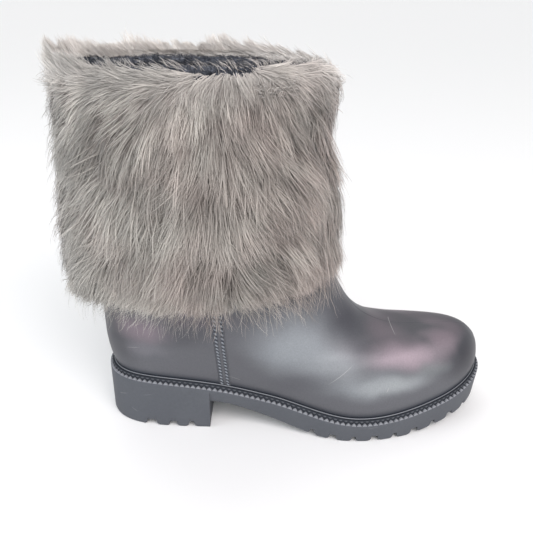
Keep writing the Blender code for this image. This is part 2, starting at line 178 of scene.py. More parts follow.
columns = ("heelX", "heelZ", "toeX", "toeZ", "dip", "rear", "waist", "ball", "fore",
           "bluntHeel", "bluntToe", "swing")
sections = np.array((
    (4.4, 38.3, 257.4, 32.0, 1.00, 30.3, 29.8, 41.6, 44.4, 8.50, 3.90, 1.00),   # lower edge
    (2.4, 43.5, 258.2, 38.5, 1.00, 31.6, 31.9, 43.4, 44.8, 7.50, 3.80, 1.00),
    (1.0, 49.0, 256.4, 47.0, 0.95, 32.6, 33.9, 44.2, 43.6, 6.60, 3.70, 1.00),   # widest
    (0.1, 54.5, 250.8, 54.0, 0.88, 33.6, 35.6, 44.0, 41.6, 5.80, 3.70, 1.00),
    (-0.3, 59.5, 242.0, 58.6, 0.78, 34.9, 37.0, 43.2, 39.6, 5.20, 3.60, 0.95),  # toe box
    (-0.4, 65.0, 228.0, 60.8, 0.62, 36.4, 38.4, 42.4, 38.6, 4.50, 3.50, 0.90),
    (-0.5, 71.5, 208.5, 61.8, 0.45, 38.2, 39.8, 41.8, 39.4, 3.90, 3.40, 0.85),
    (-0.3, 80.0, 187.0, 65.6, 0.28, 40.4, 41.6, 41.8, 40.4, 3.40, 3.10, 0.75),  # vamp
    (0.3, 91.0, 168.5, 76.5, 0.12, 42.4, 43.4, 42.4, 40.8, 2.90, 2.75, 0.60),   # instep
    (0.8, 105.0, 155.5, 94.5, 0.04, 44.2, 45.0, 43.4, 41.4, 2.50, 2.40, 0.40),
    (0.8, 123.0, 147.0, 115.0, 0.00, 45.8, 46.2, 44.8, 42.8, 2.25, 2.20, 0.20),  # ankle
    (0.2, 148.0, 139.5, 143.0, 0.00, 47.0, 47.2, 46.2, 44.6, 2.10, 2.10, 0.10),
    (-1.5, 187.0, 133.0, 186.0, 0.00, 48.2, 48.2, 47.4, 46.4, 2.00, 2.00, 0.00),  # shaft
    (-3.2, 226.0, 131.0, 226.0, 0.00, 49.0, 49.0, 48.4, 47.8, 2.00, 2.00, 0.00),  # collar
))
topPlace = len(sections) - 1
stations = (-0.78, -0.15, 0.27, 0.74)    # along a section: -1 is the heel end, 1 the toe end
edgeX = (4.4, 40.0, 75.0, 112.0, 168.0, 226.0, 257.4)       # the upper's lower edge
edgeZ = (38.3, 37.3, 33.6, 26.9, 17.6, 24.0, 32.0)
swingX = (0.0, 40.0, 112.0, 166.0, 226.0, 262.0)            # inward curve of the centre line
swingY = (0.0, -1.0, -4.6, -4.0, 8.0, 15.0)
underX = (0.0, 71.9, 84.0, 100.0, 118.0, 131.0, 142.0, 156.0, 202.0, 226.0, 246.0, 262.0)
underZ = (20.6, 20.2, 18.5, 14.0, 8.2, 4.3, 1.6, 0.0, 0.0, 3.6, 7.4, 11.0)
wall = 2.2
weltWidth = 3.7
acrossLeg = (-30.0, 30.0)       # y between which sizes at the collar pass from outer to inner side


def smooth(places, xs, ys):
    # smooth curve through (xs, ys), straight beyond both ends
    places, xs, ys = (np.asarray(a, float) for a in (places, xs, ys))
    step = np.diff(xs)
    slope = np.diff(ys) / step
    tangent = np.empty(len(xs))
    tangent[0], tangent[-1] = slope[0], slope[-1]
    tangent[1:-1] = (slope[:-1] * step[1:] + slope[1:] * step[:-1]) / (step[:-1] + step[1:])
    i = np.clip(np.searchsorted(xs, places) - 1, 0, len(xs) - 2)
    t = np.clip((places - xs[i]) / step[i], 0.0, 1.0)
    inside = ((2 * t**3 - 3 * t**2 + 1) * ys[i] + (t**3 - 2 * t**2 + t) * step[i] * tangent[i]
              + (3 * t**2 - 2 * t**3) * ys[i + 1] + (t**3 - t**2) * step[i] * tangent[i + 1])
    before = np.minimum(places - xs[0], 0.0) * tangent[0]
    after = np.maximum(places - xs[-1], 0.0) * tangent[-1]
    return inside + before + after


def sectionAt(place):
    rows = np.arange(len(sections))
    return {name: smooth(place, rows, sections[:, i]) for i, name in enumerate(columns)}


def lastPoint(place, along):
    # x, half width and height (mm) at a section and a place along it; both may be arrays
    row = sectionAt(place)
    width = sum(smooth(along, stations, np.eye(4)[i]) * row[name]
                for i, name in enumerate(("rear", "waist", "ball", "fore")))
    blunt = np.where(along > 0.0, row["bluntToe"], row["bluntHeel"])
    width = width * np.sqrt(np.clip(1.0 - np.abs(along) ** blunt, 0.0, 1.0))
    share = (along + 1.0) / 2.0
    lowest = sectionAt(0.0)

    def between(ends, axis):
        return ends["heel" + axis] + (ends["toe" + axis] - ends["heel" + axis]) * share

    sag = smooth(between(lowest, "X"), edgeX, edgeZ) - between(lowest, "Z")
    return between(row, "X"), width, between(row, "Z") + row["dip"] * sag


def centreLine(x, share=1.0):
    return share * smooth(x, swingX, swingY)


def halfOutline(place, grow=0.0, points=401):
    # one side of a section seen from above, toe tip to heel back, grown outwards by grow
    x, width, z = lastPoint(place, np.cos(np.linspace(0.0, np.pi, points)))
    if grow:
        dx, dw = np.gradient(x), np.gradient(width)
        length = np.hypot(dx, dw)
        x, width = x + grow * dw / length, width - grow * dx / length
        width[0] = width[-1] = 0.0
    return x, width, z


def summedSteps(steps):
    return np.concatenate(([0.0], np.cumsum(steps)))


def spread(x, width, steps):
    # places along a half outline, closer together where it turns
    dx, dw = np.diff(x), np.diff(width)
    length = np.hypot(dx, dw)
    turn = np.abs(np.diff(np.unwrap(np.arctan2(dw, dx))))
    turning = np.zeros(len(length))
    turning[1:] += turn / 2
    turning[:-1] += turn / 2
    byLength, byTurning = 0.62, 0.38
    weight = byLength * length / length.sum() + byTurning * turning / turning.sum()
    travelled = summedSteps(weight)
    return np.interp(np.linspace(0.0, travelled[-1], steps + 1), travelled, np.arange(len(x)))


def pick(places, *rows):
    return [np.interp(places, np.arange(len(row)), row) for row in rows]


def closedRing(x, width, z, share=1.0):
    # toe tip, outer side, heel back, inner side, in millimetres
    middle = centreLine(x, share)
    outer = np.stack((x, middle - width, z), 1)
    inner = np.stack((x, middle + width, z), 1)
    return np.concatenate((outer, inner[1:-1][::-1]))


def lastRing(place, steps, grow=0.0):
    x, width, z = halfOutline(place, grow)
    return closedRing(*pick(spread(x, width, steps), x, width, z), sectionAt(place)["swing"])


def unit(vectors):
    return vectors / np.maximum(np.linalg.norm(vectors, axis=-1, keepdims=True), 1e-12)


def laidOn(vectors, normals):
    # the vectors' directions along the surface
    return unit(vectors - normals * (vectors * normals).sum(-1, keepdims=True))


def anglesRound(count):
    return np.arange(count) / count * 2.0 * np.pi


def gridNormals(grid):
    # outward normals of rings that run toe, outer side, heel, inner side
    around = np.roll(grid, -1, 1) - np.roll(grid, 1, 1)
    return unit(np.cross(np.gradient(grid, axis=0), around))


def level(normals):
    return unit(normals * (1.0, 1.0, 0.0))


# the last's own zero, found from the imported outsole
weltX, weltHalf, _ = halfOutline(0.0, weltWidth)
weltRing = closedRing(weltX, weltHalf, weltX)
shift = np.array(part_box("outsole")[0]) / mm - weltRing.min(0)
shift[2] = 0.0


def toFrame(points):
    return (np.asarray(points, float) + shift) * mm


# Meshes

def newPiece(name, vertices, faces, material, smoothShade=True):
    mesh = bpy.data.meshes.new(name)
    mesh.from_pydata([tuple(v) for v in vertices], [], [tuple(f) for f in faces])
    mesh.update()
    if material:
        mesh.materials.append(material)
    if smoothShade:
        mesh.shade_smooth()
    return newObject(name, mesh)


def lastPiece(name, rings, faces, material):
    # a piece from rings or rows of points on the last
    return newPiece(name, toFrame(np.reshape(rings, (-1, 3))), faces, material)


def gridFaces(rows, around, closed=True, flip=False, start=0):
    # quads between the rows of a grid whose columns run round a loop or along a strip
    faces = []
    for i in range(rows - 1):
        for j in range(around if closed else around - 1):
            k = (j + 1) % around
            a, b = start + i * around, start + (i + 1) * around
            face = (a + j, b + j, b + k, a + k)
            faces.append(face[::-1] if flip else face)
    return faces


def closedStack(rows, around):
    # the same for a stack of rings whose last row meets the first
    count = rows * around
    return [tuple(corner % count for corner in face) for face in gridFaces(rows + 1, around)]


def keepValues(made, name, values, kind="FLOAT", domain="POINT"):
    # a number or a vector kept on each point or face
    kept = made.data.attributes.new(name, kind, domain).data
    kept.foreach_set("vector" if kind == "FLOAT_VECTOR" else "value", np.ravel(values))


def reshape(made, change):
    shaped = bmesh.new()
    shaped.from_mesh(made.data)
    change(shaped)
    shaped.to_mesh(made.data)
    shaped.free()


touching = 0.00001      # metres


def joinDoubles(shaped):
    bmesh.ops.remove_doubles(shaped, verts=shaped.verts[:], dist=touching)


def finishPiece(made, slotName, *nodes):
    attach(made, "root")
    if nodes:
        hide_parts(*nodes)
    return made


# Moulded upper: pearl-pigmented PVC

pearlPvc = dict(
    # crown: a painted shade, darker where the surface faces up; foot: painted shade along the welt
    base="5D5E63", crown="525257", foot="1E2632", scuff="C4C2C0", bead="7E8187", stitch="7A7F86",
    # painted reflections and shade: colour, strength, middle x, y and z (mm, mirrored to the inner side),
    # reach
    paintedLightAndShade=(
        ("3A3A40", 0.92, (-114.0, -20.0, 70.0), (32.0, 34.0, 40.0)),   # painted shade on the heel back
        ("4A4A50", 0.70, (-60.0, -43.0, 76.0), (28.0, 30.0, 16.0)),    # and painted shade beside the strip
        ("9AA0A5", 0.60, (8.0, -45.0, 70.0), (38.0, 44.0, 28.0)),      # painted silver reflection beside the instep
        ("9DA2A6", 0.42, (33.0, -46.0, 55.0), (27.0, 26.0, 16.0)),     # running down to the toe
        ("989EA2", 0.52, (58.0, -44.0, 41.0), (46.0, 30.0, 12.0)),     # painted silver reflection low on the toe
        ("9CA1A4", 0.40, (84.0, -37.0, 40.0), (22.0, 24.0, 8.5)),      # round towards the tip
        ("BABFC0", 0.25, (68.0, -43.0, 40.5), (26.0, 20.0, 8.0)),      # its brightest place, a painted highlight
        ("505157", 0.40, (10.0, -45.0, 42.0), (34.0, 24.0, 10.0)),     # painted shade under it
        ("3A3A40", 0.92, (125.0, -10.0, 43.5), (29.0, 38.0, 20.0)),    # painted shade on the toe tip
        ("7A7178", 0.62, (66.0, -12.0, 66.0), (26.0, 24.0, 9.0)),      # painted dull mauve reflection on the crown
        ("756C73", 0.65, (117.0, 0.0, 59.0), (16.0, 20.0, 8.0)),
        ("A4949D", 0.55, (89.0, -24.0, 54.5), (30.0, 20.0, 11.0)),     # painted mauve reflection over the toe
        ("9A8A93", 0.52, (107.0, -13.0, 57.0), (21.0, 14.0, 8.0)),     # rising towards the tip
        ("868C8D", 0.42, (99.0, -30.0, 46.5), (20.0, 16.0, 6.5)),      # painted silver reflection rising below it
        ("B4A2AC", 0.50, (74.0, -30.0, 56.5), (32.0, 18.0, 9.5)),      # and beside it
        ("5C525A", 0.50, (-62.0, -44.0, 87.0), (46.0, 26.0, 9.0)),     # shade under the fringe
        ("8D7C86", 0.55, (-90.0, -34.0, 74.0), (26.0, 26.0, 12.0)),    # painted mauve reflection behind
        ("47474E", 0.72, (40.0, -20.0, 80.0), (20.0, 30.0, 18.0)),     # painted shadow at the throat
        ("605C64", 0.35, (45.0, -34.0, 62.5), (16.0, 18.0, 10.0)),     # and below it
        ("8B8890", 0.26, (-89.0, -33.0, 60.0), (18.0, 22.0, 9.0)),     # painted light, paler above the heel
    ),
    wander=7.0 * mm,         # how far the edges of the painted reflections and shade stray
    flake=0.9 * mm,          # real flakes are under 0.1 mm; drawn this coarse so that they show
    sparkle=(0.92, 1.08),    # darkest and brightest flakes, times the colour
    cloud=30.0 * mm, haze=22 * mm, roughness=(0.42, 0.50), scuffShare=0.45,
    topShadeFade=(0.70, 1.0),     # how far a surface faces up where the crown's colour, a painted shade, starts and is full
    innerFade=(-0.001, 0.013, 1.0, 0.5),     # the painted reflections and shade fade to a half past the middle line
    scratches=(
        # x, y and z of the middle, tilt in degrees, half length, half width
        (37.0, -46.0, 50.0, 36.0, 11.0, 0.20),
        (68.0, -45.0, 38.0, 65.0, 2.0, 0.26),
        (74.0, -4.0, 64.0, -48.0, 3.0, 0.20),
        (-96.0, -30.0, 58.0, 15.0, 6.0, 0.13),
        (-30.0, -41.0, 40.0, -20.0, 5.0, 0.14),
        (4.0, 36.0, 55.0, 24.0, 10.0, 0.18),
        (68.0, 42.0, 41.0, -35.0, 6.0, 0.16),
        (-88.0, 30.0, 60.0, 40.0, 7.0, 0.14),
    ),
)


def colourOf(value):
    return linear(value) if isinstance(value, str) else value


def blend(add, share, first, second, way="MIX"):
    # two colours, each a hex code or a socket, mixed by a share or multiplied
    return add("ShaderNodeMix", {0: share, 6: colourOf(first), 7: colourOf(second)}, 2,
               data_type="RGBA", blend_type=way)


def ramp(add, value, low, high, start=0.0, end=1.0, soft=False):
    # brings low to start and high to end, and holds both beyond
    return add("ShaderNodeMapRange", {0: value, 1: low, 2: high, 3: start, 4: end},
               interpolation_type="SMOOTHSTEP" if soft else "LINEAR")


def times(add, result, *factors):
    for factor in factors:
        result = add("ShaderNodeMath", {0: result, 1: factor}, operation="MULTIPLY")
    return result


def noise(add, where, size, detail, out=0, **more):
    return add("ShaderNodeTexNoise", {"Vector": where, "Scale": 1.0 / size, "Detail": detail, **more}, out)


def axisOf(add, where, axis):
    return add("ShaderNodeSeparateXYZ", {0: where}, axis)


def keptValue(add, name):
    # a number kept on the mesh by keepValues or by the pile's nodes
    return add("ShaderNodeAttribute", attribute_name=name, out="Fac")


def bump(add, height, strength, distance):
    return add("ShaderNodeBump", {"Strength": strength, "Distance": distance, "Height": height})


def softPlace(add, where, middle, reach, far, outside, inside):
    # one value inside an oval place (mm), fading to another outside it
    vectors = "ShaderNodeVectorMath"
    away = add(vectors, {0: where, 1: Vector(middle) * mm}, operation="SUBTRACT")
    away = add(vectors, {0: away, 1: Vector(reach) * mm}, operation="DIVIDE")
    away = add(vectors, {0: away}, "Value", operation="LENGTH")
    return ramp(add, away, far, 0.1, outside, inside, soft=True)


scratchDepth = 12.0     # a scratch marks nothing further in or out than this (mm)


def scratchMarks(add, where, scratches):
    # 1 on each fine scratch, fading to 0 at its ends and sides
    maths = "ShaderNodeMath"
    marks = 0.0
    for x, y, z, tilt, halfLength, halfWidth in scratches:
        middle = (x * mm, y * mm, z * mm)
        centred = add("ShaderNodeVectorMath", {0: where, 1: middle}, operation="SUBTRACT")
        turned = add("ShaderNodeMapping", {0: centred, "Rotation": (0.0, math.radians(tilt), 0.0)})
        mark = 1.0
        for axis, reach, fade in (("X", halfLength, 0.3), ("Z", halfWidth, 0.3), ("Y", scratchDepth, 0.9)):
            off = add(maths, {0: axisOf(add, turned, axis)}, operation="ABSOLUTE")
            mark = times(add, ramp(add, off, reach * mm, fade * reach * mm, soft=True), mark)
        marks = add(maths, {0: mark, 1: marks}, operation="MAXIMUM")
    return marks


def pearlMaterial():
    # Injection-moulded PVC with mica pigment: a satin skin with painted silver and mauve reflections and
    # painted shade, over a grey body painted darkest on top as shade, with fine sparkle and a few scuffs
    made, add, dress = newMaterial("pearl_pvc_injection_moulded", 0.45, 0.4, 0.25)
    s = pearlPvc
    vectors = "ShaderNodeVectorMath"
    where = add("ShaderNodeTexCoord", out="Object")
    cloud = noise(add, where, s["cloud"], 2.0, out="Color")
    stray = add(vectors, {0: cloud, 1: (0.5, 0.5, 0.5)}, operation="SUBTRACT")
    stray = add(vectors, {0: stray, "Scale": s["wander"] * 2}, operation="SCALE")
    # the inner side folded over the outer one
    upright = add(vectors, {0: where, 1: (1.0, 0.0, 1.0)}, operation="MULTIPLY")
    outer = add(vectors, {0: where}, operation="ABSOLUTE")
    outer = add(vectors, {0: outer, 1: (0.0, -1.0, 0.0)}, operation="MULTIPLY")
    folded = add(vectors, {0: upright, 1: outer}, operation="ADD")
    folded = add(vectors, {0: folded, 1: stray}, operation="ADD")
    # painted shade: the crown's darker colour where the surface faces up
    top = ramp(add, axisOf(add, add("ShaderNodeNewGeometry", out="Normal"), "Z"), *s["topShadeFade"], soft=True)
    colour = plain = blend(add, top, s["base"], s["crown"])
    # painted reflections and shade, each in a soft place
    for paintedColour, strength, middle, reach in s["paintedLightAndShade"]:
        colour = blend(add, softPlace(add, folded, middle, reach, 1.1, 0.0, strength), colour, paintedColour)
    outerShare = ramp(add, axisOf(add, where, "Y"), *s["innerFade"], soft=True)
    colour = blend(add, outerShare, plain, colour)
    # a dark line of shade where the upper meets the welt
    colour = blend(add, keptValue(add, "foot"), colour, s["foot"])
    flakes = noise(add, where, s["flake"], 1.0, Roughness=0.7)
    colour = blend(add, 1.0, colour, ramp(add, flakes, 0.25, 0.75, *s["sparkle"]), "MULTIPLY")
    marks = scratchMarks(add, where, s["scratches"])
    colour = blend(add, times(add, marks, s["scuffShare"]), colour, s["scuff"])
    haze = noise(add, where, s["haze"], 3.0)
    height = times(add, flakes, 0.25)
    height = add("ShaderNodeMath", {0: height, 1: marks}, operation="SUBTRACT")
    dress({"Base Color": colour, "Roughness": ramp(add, haze, 0.3, 0.7, *s["roughness"]),
           "Normal": bump(add, height, 0.25, 0.10 * mm), "Coat Weight": 0.10, "Coat Roughness": 0.35})
    return made


def paleHighlightPvc(name, colour):
    # The same PVC, a little glossier, at the rolled edge and on the raised stitches, painted paler: a
    # painted highlight where these thin ridges catch the light, so that they show as pale lines
    made, _, dress = newMaterial(name, 0.38, 0.5, 0.2)
    dress({"Base Color": linear(colour)})
    return made


upperShape = dict(
    lowRings=84,         # below the fur, where it shows
    highRings=16,
    lowTop=9.6,          # section at which the rings grow wider apart
    sideSteps=74,
    sharp=50,            # edges this many degrees or more stay crisp
    footShade=8.0,       # how far the shade reaches up from the welt
    creases=(
        # middle x, y, z; direction in plan and rise; half length, half width, depth (mm)
        ((50.0, -6.0, 70.0), (0.15, 1.0, 0.0), 30.0, 4.5, 0.35),
        ((38.0, -8.0, 78.0), (0.10, 1.0, 0.0), 32.0, 5.0, 0.45),
        ((27.0, -6.0, 88.0), (0.05, 1.0, 0.0), 34.0, 5.0, 0.35),
        ((22.0, -48.0, 36.0), (1.0, 0.0, -0.25), 34.0, 7.0, 0.40),
        ((20.0, 36.0, 38.0), (1.0, 0.0, -0.25), 34.0, 7.0, 0.35),
        ((-102.0, -34.0, 66.0), (0.4, -0.6, 0.3), 20.0, 6.0, 0.30),
        ((-100.0, 34.0, 62.0), (0.4, 0.6, -0.3), 20.0, 6.0, 0.30),
    ),
)


def creaseDepth(points):
    # how far in (mm) the soft troughs take each point
    depth = np.zeros(points.shape[:-1])
    framed = points + shift
    for middle, along, halfLength, halfWidth, deep in upperShape["creases"]:
        along = np.array(along) / np.linalg.norm(along)
        away = framed - middle
        run = away @ along
        off = np.linalg.norm(away - run[..., None] * along, axis=-1)
        depth += deep * np.exp(-(run / halfLength) ** 2 * 2.0 - (off / halfWidth) ** 2)
    return depth


def upperSurface(places, steps):
    outer = np.array([lastRing(place, steps) for place in places])
    normals = gridNormals(outer)
    normals[0] = level(normals[0])
    normals[-1] = level(normals[-1])
    outer = outer - normals * creaseDepth(outer)[..., None]
    return outer, normals


def makeUpper(material):
    s = upperShape
    places = np.concatenate((np.linspace(0.0, s["lowTop"], s["lowRings"]),
                             np.linspace(s["lowTop"], topPlace, s["highRings"] + 1)[1:]))
    outer, normals = upperSurface(places, s["sideSteps"])
    rings = np.concatenate((outer, (outer - normals * wall)[::-1]))
    faces = closedStack(*rings.shape[:2])
    made = lastPiece("upper_shell", rings, faces, material)
    made.data.set_sharp_from_angle(angle=math.radians(s["sharp"]))
    heights = np.linalg.norm(outer - outer[0], axis=2)
    foot = np.clip(1.0 - heights / s["footShade"], 0.0, 1.0) ** 3
    foot = np.concatenate((foot, foot[::-1]))
    keepValues(made, "foot", foot)
    return finishPiece(made, "pearl_pvc", "upper")


def sidePoint(place, x, side):
    # point on the outer surface at a section and an x, and its outward normal
    def at(p, u):
        row = sectionAt(p)
        along = 2.0 * (u - row["heelX"]) / (row["toeX"] - row["heelX"]) - 1.0
        _, width, z = lastPoint(p, along)
        return np.stack((u + 0 * z, centreLine(u, row["swing"]) + side * width, z), -1)
    place, x = np.broadcast_arrays(np.asarray(place, float), np.asarray(x, float))
    here = at(place, x)
    upward = at(place + 0.05, x) - at(place - 0.05, x)
    forward = at(place, x + 0.5) - at(place, x - 0.5)
    normal = unit(np.cross(forward, upward)) * -side
    point = here - normal * creaseDepth(here)[..., None]
    return point, normal


sideStrip = dict(
    low=0.12, high=10.6,      # sections that it runs between
    rows=72,
    # x across the strip and how far proud of the upper (mm)
    profile=((76.6, -0.30), (76.8, 0.35), (77.1, 0.55), (77.4, 0.44), (77.65, 0.20), (78.55, 0.10),
             (79.45, 0.20), (79.75, 0.42), (80.5, 0.46), (81.3, 0.42), (81.6, 0.20), (82.5, 0.10),
             (83.4, 0.20), (83.65, 0.46), (83.9, 0.55), (84.15, 0.35), (84.3, -0.30)),
    lean=0.058, leanFrom=61.0,      # further back the higher it is
    stitchRows=(78.55, 82.5), troughShade=0.85, troughReach=1.1, edgeShade=0.55, edgeReach=0.3,
    stitchPitch=3.05, stitchLength=3.1, stitchWidth=1.4, stitchHeight=0.55,
    stitchOut=0.12, firstStitch=0.06, pathPoints=90, slant=48.0,
)


def leaning(place, x, side):
    z = sidePoint(place, x, side)[0][..., 2]
    return x - (z - sideStrip["leanFrom"]) * sideStrip["lean"]


def makeSideStrip(name, side, material):
    s = sideStrip
    xs, heights = (np.array(column) for column in zip(*s["profile"]))
    places = np.linspace(s["low"], s["high"], s["rows"])
    point, normal = sidePoint(places[:, None], leaning(places[:, None], xs[None, :], side), side)
    top = point + normal * heights[:, None]
    faces = gridFaces(len(places), len(xs), closed=False, flip=side > 0)
    made = lastPiece(name, top, faces, material)
    toRow = np.abs(xs[:, None] - s["stitchRows"]).min(1)
    trough = np.exp(-(toRow / s["troughReach"]) ** 2) * s["troughShade"]
    trough += np.exp(-((xs - xs[1]) / s["edgeReach"]) ** 2) * s["edgeShade"]
    foot = np.tile(np.clip(trough, 0.0, 1.0), len(places))
    keepValues(made, "foot", foot)
    return finishPiece(made, "pearl_pvc")


# Geometry Nodes: a shape repeated along a path

def newTree(name, asked):
    # a node tree, a function that adds a node to it, its inputs' sockets and their identifiers
    tree = bpy.data.node_groups.new(name, "GeometryNodeTree")
    for way in ("INPUT", "OUTPUT"):
        tree.interface.new_socket("Geometry", in_out=way, socket_type="NodeSocketGeometry")
    inputs = {}
    for label, kind, value in asked:
        socket = tree.interface.new_socket(label, in_out="INPUT", socket_type="NodeSocket" + kind)
        if value is not None:
            socket.default_value = value
        inputs[label] = socket.identifier
    return tree, partial(addNode, tree), tree.nodes.new("NodeGroupInput").outputs, inputs


def chance(add, low, high, seed, **which):
    # a random number; with an ID, the same for everything that shares it
    return add("FunctionNodeRandomValue", {2: low, 3: high, "Seed": seed, **which}, 1, data_type="FLOAT")


def summed(add, start, *pairs):
    # start plus each socket times its share
    for socket, share in pairs:
        start = add("ShaderNodeMath", {0: socket, 1: share, 2: start}, operation="MULTIPLY_ADD")
    return start


def scaled(add, vector, share):
    return add("ShaderNodeVectorMath", {0: vector, "Scale": share}, operation="SCALE")


def moved(add, start, vector, share):
    # start plus a vector times a share
    return add("ShaderNodeVectorMath", {0: start, 1: scaled(add, vector, share)}, operation="ADD")


def repeatTree():
    # Path: a line of edges with an "outward" vector. Shape's Z points outward, Y along the path
    tree, add, enter, inputs = newTree("repeat_along_path", (
        ("Shape", "Object", None), ("Spacing", "Float", 0.003), ("Slant", "Float", 0.0),
        ("Unevenness", "Float", 0.0), ("Seed", "Int", 1), ("Material", "Material", None)))
    curve = add("GeometryNodeMeshToCurve", {"Mesh": enter["Geometry"]})
    even = add("GeometryNodeResampleCurve", {"Curve": curve, "Length": enter["Spacing"]}, mode="LENGTH")
    outward = add("GeometryNodeInputNamedAttribute", {"Name": "outward"}, data_type="FLOAT_VECTOR")
    tangent = add("GeometryNodeInputTangent")
    stood = add("FunctionNodeAlignRotationToVector", {"Vector": outward}, axis="Z")
    turned = add("FunctionNodeAlignRotationToVector", {"Rotation": stood, "Vector": tangent},
                 axis="Y", pivot_axis="Z")
    uneven = chance(add, -1.0, 1.0, enter["Seed"])
    swing = summed(add, enter["Slant"], (uneven, enter["Unevenness"]))
    slantVector = add("ShaderNodeCombineXYZ", {"Z": swing})
    slanted = add("FunctionNodeRotateRotation", {"Rotation": turned, "Rotate By": slantVector},
                  rotation_space="LOCAL")
    shape = add("GeometryNodeObjectInfo", {"Object": enter["Shape"]}, "Geometry")
    placed = add("GeometryNodeInstanceOnPoints", {"Points": even, "Instance": shape, "Rotation": slanted})
    real = add("GeometryNodeRealizeInstances", {0: placed})
    painted = add("GeometryNodeSetMaterial", {"Geometry": real, "Material": enter["Material"]})
    add("NodeGroupOutput", {"Geometry": painted})
    return tree, inputs


repeatAlongPath = repeatTree()


def applyNodes(holder, nodes, name):
    # runs a node tree on the holder's mesh and keeps the result as a plain mesh
    tree, inputs, values = nodes
    modifier = holder.modifiers.new(name, "NODES")
    modifier.node_group = tree
    for label, value in values.items():
        modifier[inputs[label]] = value
    shown = bpy.context.evaluated_depsgraph_get()
    mesh = bpy.data.meshes.new_from_object(holder.evaluated_get(shown), depsgraph=shown)
    holder.modifiers.remove(modifier)
    mesh.name = name
    made = newObject(name, mesh)
    bpy.data.objects.remove(holder)
    return made


def pathHolder(points, outward, closed):
    mesh = bpy.data.meshes.new("path")
    count = len(points)
    edges = [(i, (i + 1) % count) for i in range(count if closed else count - 1)]
    mesh.from_pydata([tuple(p) for p in toFrame(points)], edges, [])
    holder = newObject("path", mesh)
    keepValues(holder, "outward", np.asarray(outward, np.float32), "FLOAT_VECTOR")
    return holder


def repeatPiece(name, slotName, material, shape, points, outward, closed, spacing, slant=0.0, seed=1):
    shape.hide_render = True
    holder = pathHolder(points, outward, closed)
    values = {"Shape": shape, "Spacing": spacing * mm, "Slant": math.radians(slant),
              "Unevenness": 0.0 if closed else 0.05, "Seed": seed, "Material": material}
    made = applyNodes(holder, (*repeatAlongPath, values), name)
    bpy.data.objects.remove(shape)
    return finishPiece(made, slotName)


def shapeFrom(vertices, faces, bevel=0.0):
    # a small closed shape in millimetres, for repeating: bevelled, or smooth
    made = newPiece("shape", np.array(vertices, float) * mm, faces, None, smoothShade=not bevel)
    if bevel:
        reshape(made, lambda shaped: bmesh.ops.bevel(
            shaped, geom=shaped.edges[:], offset=bevel * mm, segments=1, affect="EDGES"))
    return made


def lozenge(length, width, height, around=8):
    # a flattened oval bead: long in Y, proud in Z
    vertices, faces = [(0.0, 0.0, height)], []
    for scale, lift in ((0.62, 0.72), (1.0, 0.0), (0.9, -0.5)):
        for k in range(around):
            turn = 2.0 * math.pi * k / around
            vertices.append((width / 2 * scale * math.cos(turn), length / 2 * scale * math.sin(turn),
                             height * lift))
    faces += [(0, 1 + k, 1 + (k + 1) % around) for k in range(around)]
    for ring in range(2):
        a, b = 1 + ring * around, 1 + (ring + 1) * around
        faces += [(a + k, b + k, b + (k + 1) % around, a + (k + 1) % around) for k in range(around)]
    faces.append([1 + 2 * around + k for k in range(around)][::-1])
    return vertices, faces


def makeStitches(side, sideName, material):
    s = sideStrip
    places = np.linspace(s["low"] + s["firstStitch"], s["high"], s["pathPoints"])
    for number, x in enumerate(s["stitchRows"], 1):
        point, normal = sidePoint(places, leaning(places, np.full_like(places, x), side), side)
        shape = shapeFrom(*lozenge(s["stitchLength"], s["stitchWidth"], s["stitchHeight"]))
        repeatPiece(f"strip_stitches_{sideName}_{number}", "pearl_pvc", material, shape,
                    point + normal * s["stitchOut"], normal, False, s["stitchPitch"],
                    s["slant"] * -side, seed=10 + number)


partingLine = dict(
    ends=((1.0, 1.6, 9.8), (-1.0, 0.15, 9.4)),     # toe or heel end, sections it runs between
    profile=((-0.7, -0.10), (-0.3, 0.06), (0.0, 0.13), (0.3, 0.06), (0.7, -0.10)),
    rows=110, shade=0.45, shadeFrom=6.5,      # darker above this section
)


def makePartingLines(material):
    # thin witness of the mould's joint, over the toe and down the back of the heel
    for end, low, high in partingLine["ends"]:
        places = np.linspace(low, high, partingLine["rows"])
        x, _, z = lastPoint(places, np.full_like(places, end))
        middle = np.stack((x, centreLine(x, sectionAt(places)["swing"]), z), 1)
        run = unit(np.gradient(middle, axis=0))
        normal = unit(np.cross((0.0, 1.0, 0.0), run)) * end
        normal *= np.sign((normal * (end, 0.0, 0.6)).sum(1, keepdims=True))
        middle = middle - normal * creaseDepth(middle)[:, None]
        rows = [middle + np.array((0.0, across, 0.0)) + normal * rise
                for across, rise in partingLine["profile"]]
        grid = np.stack(rows, 1)
        faces = gridFaces(len(places), len(rows), closed=False, flip=end < 0)
        name = "toe_parting_line" if end > 0 else "heel_parting_line"
        made = lastPiece(name, grid, faces, material)
        shade = np.clip(places - partingLine["shadeFrom"], 0.0, 1.0) * partingLine["shade"]
        keepValues(made, "foot", np.repeat(shade, len(rows)))
        finishPiece(made, "pearl_pvc")


edgeBead = dict(out=0.50, drop=0.45, radius=0.36, around=8, steps=150)


def makeEdgeBead(material):
    # rolled lip of the upper, where it meets the sole
    s = edgeBead
    rows = []
    for k in range(s["around"]):
        turn = 2.0 * math.pi * k / s["around"]
        x, width, z = halfOutline(0.0, s["out"] + s["radius"] * math.cos(turn))
        picked = pick(np.linspace(0, len(x) - 1, s["steps"] + 1), x, width, z)
        rows.append(closedRing(picked[0], picked[1], picked[2] - s["drop"] + s["radius"] * math.sin(turn)))
    faces = closedStack(len(rows), len(rows[0]))
    made = lastPiece("edge_bead", rows, faces, material)
    return finishPiece(made, "pearl_pvc")


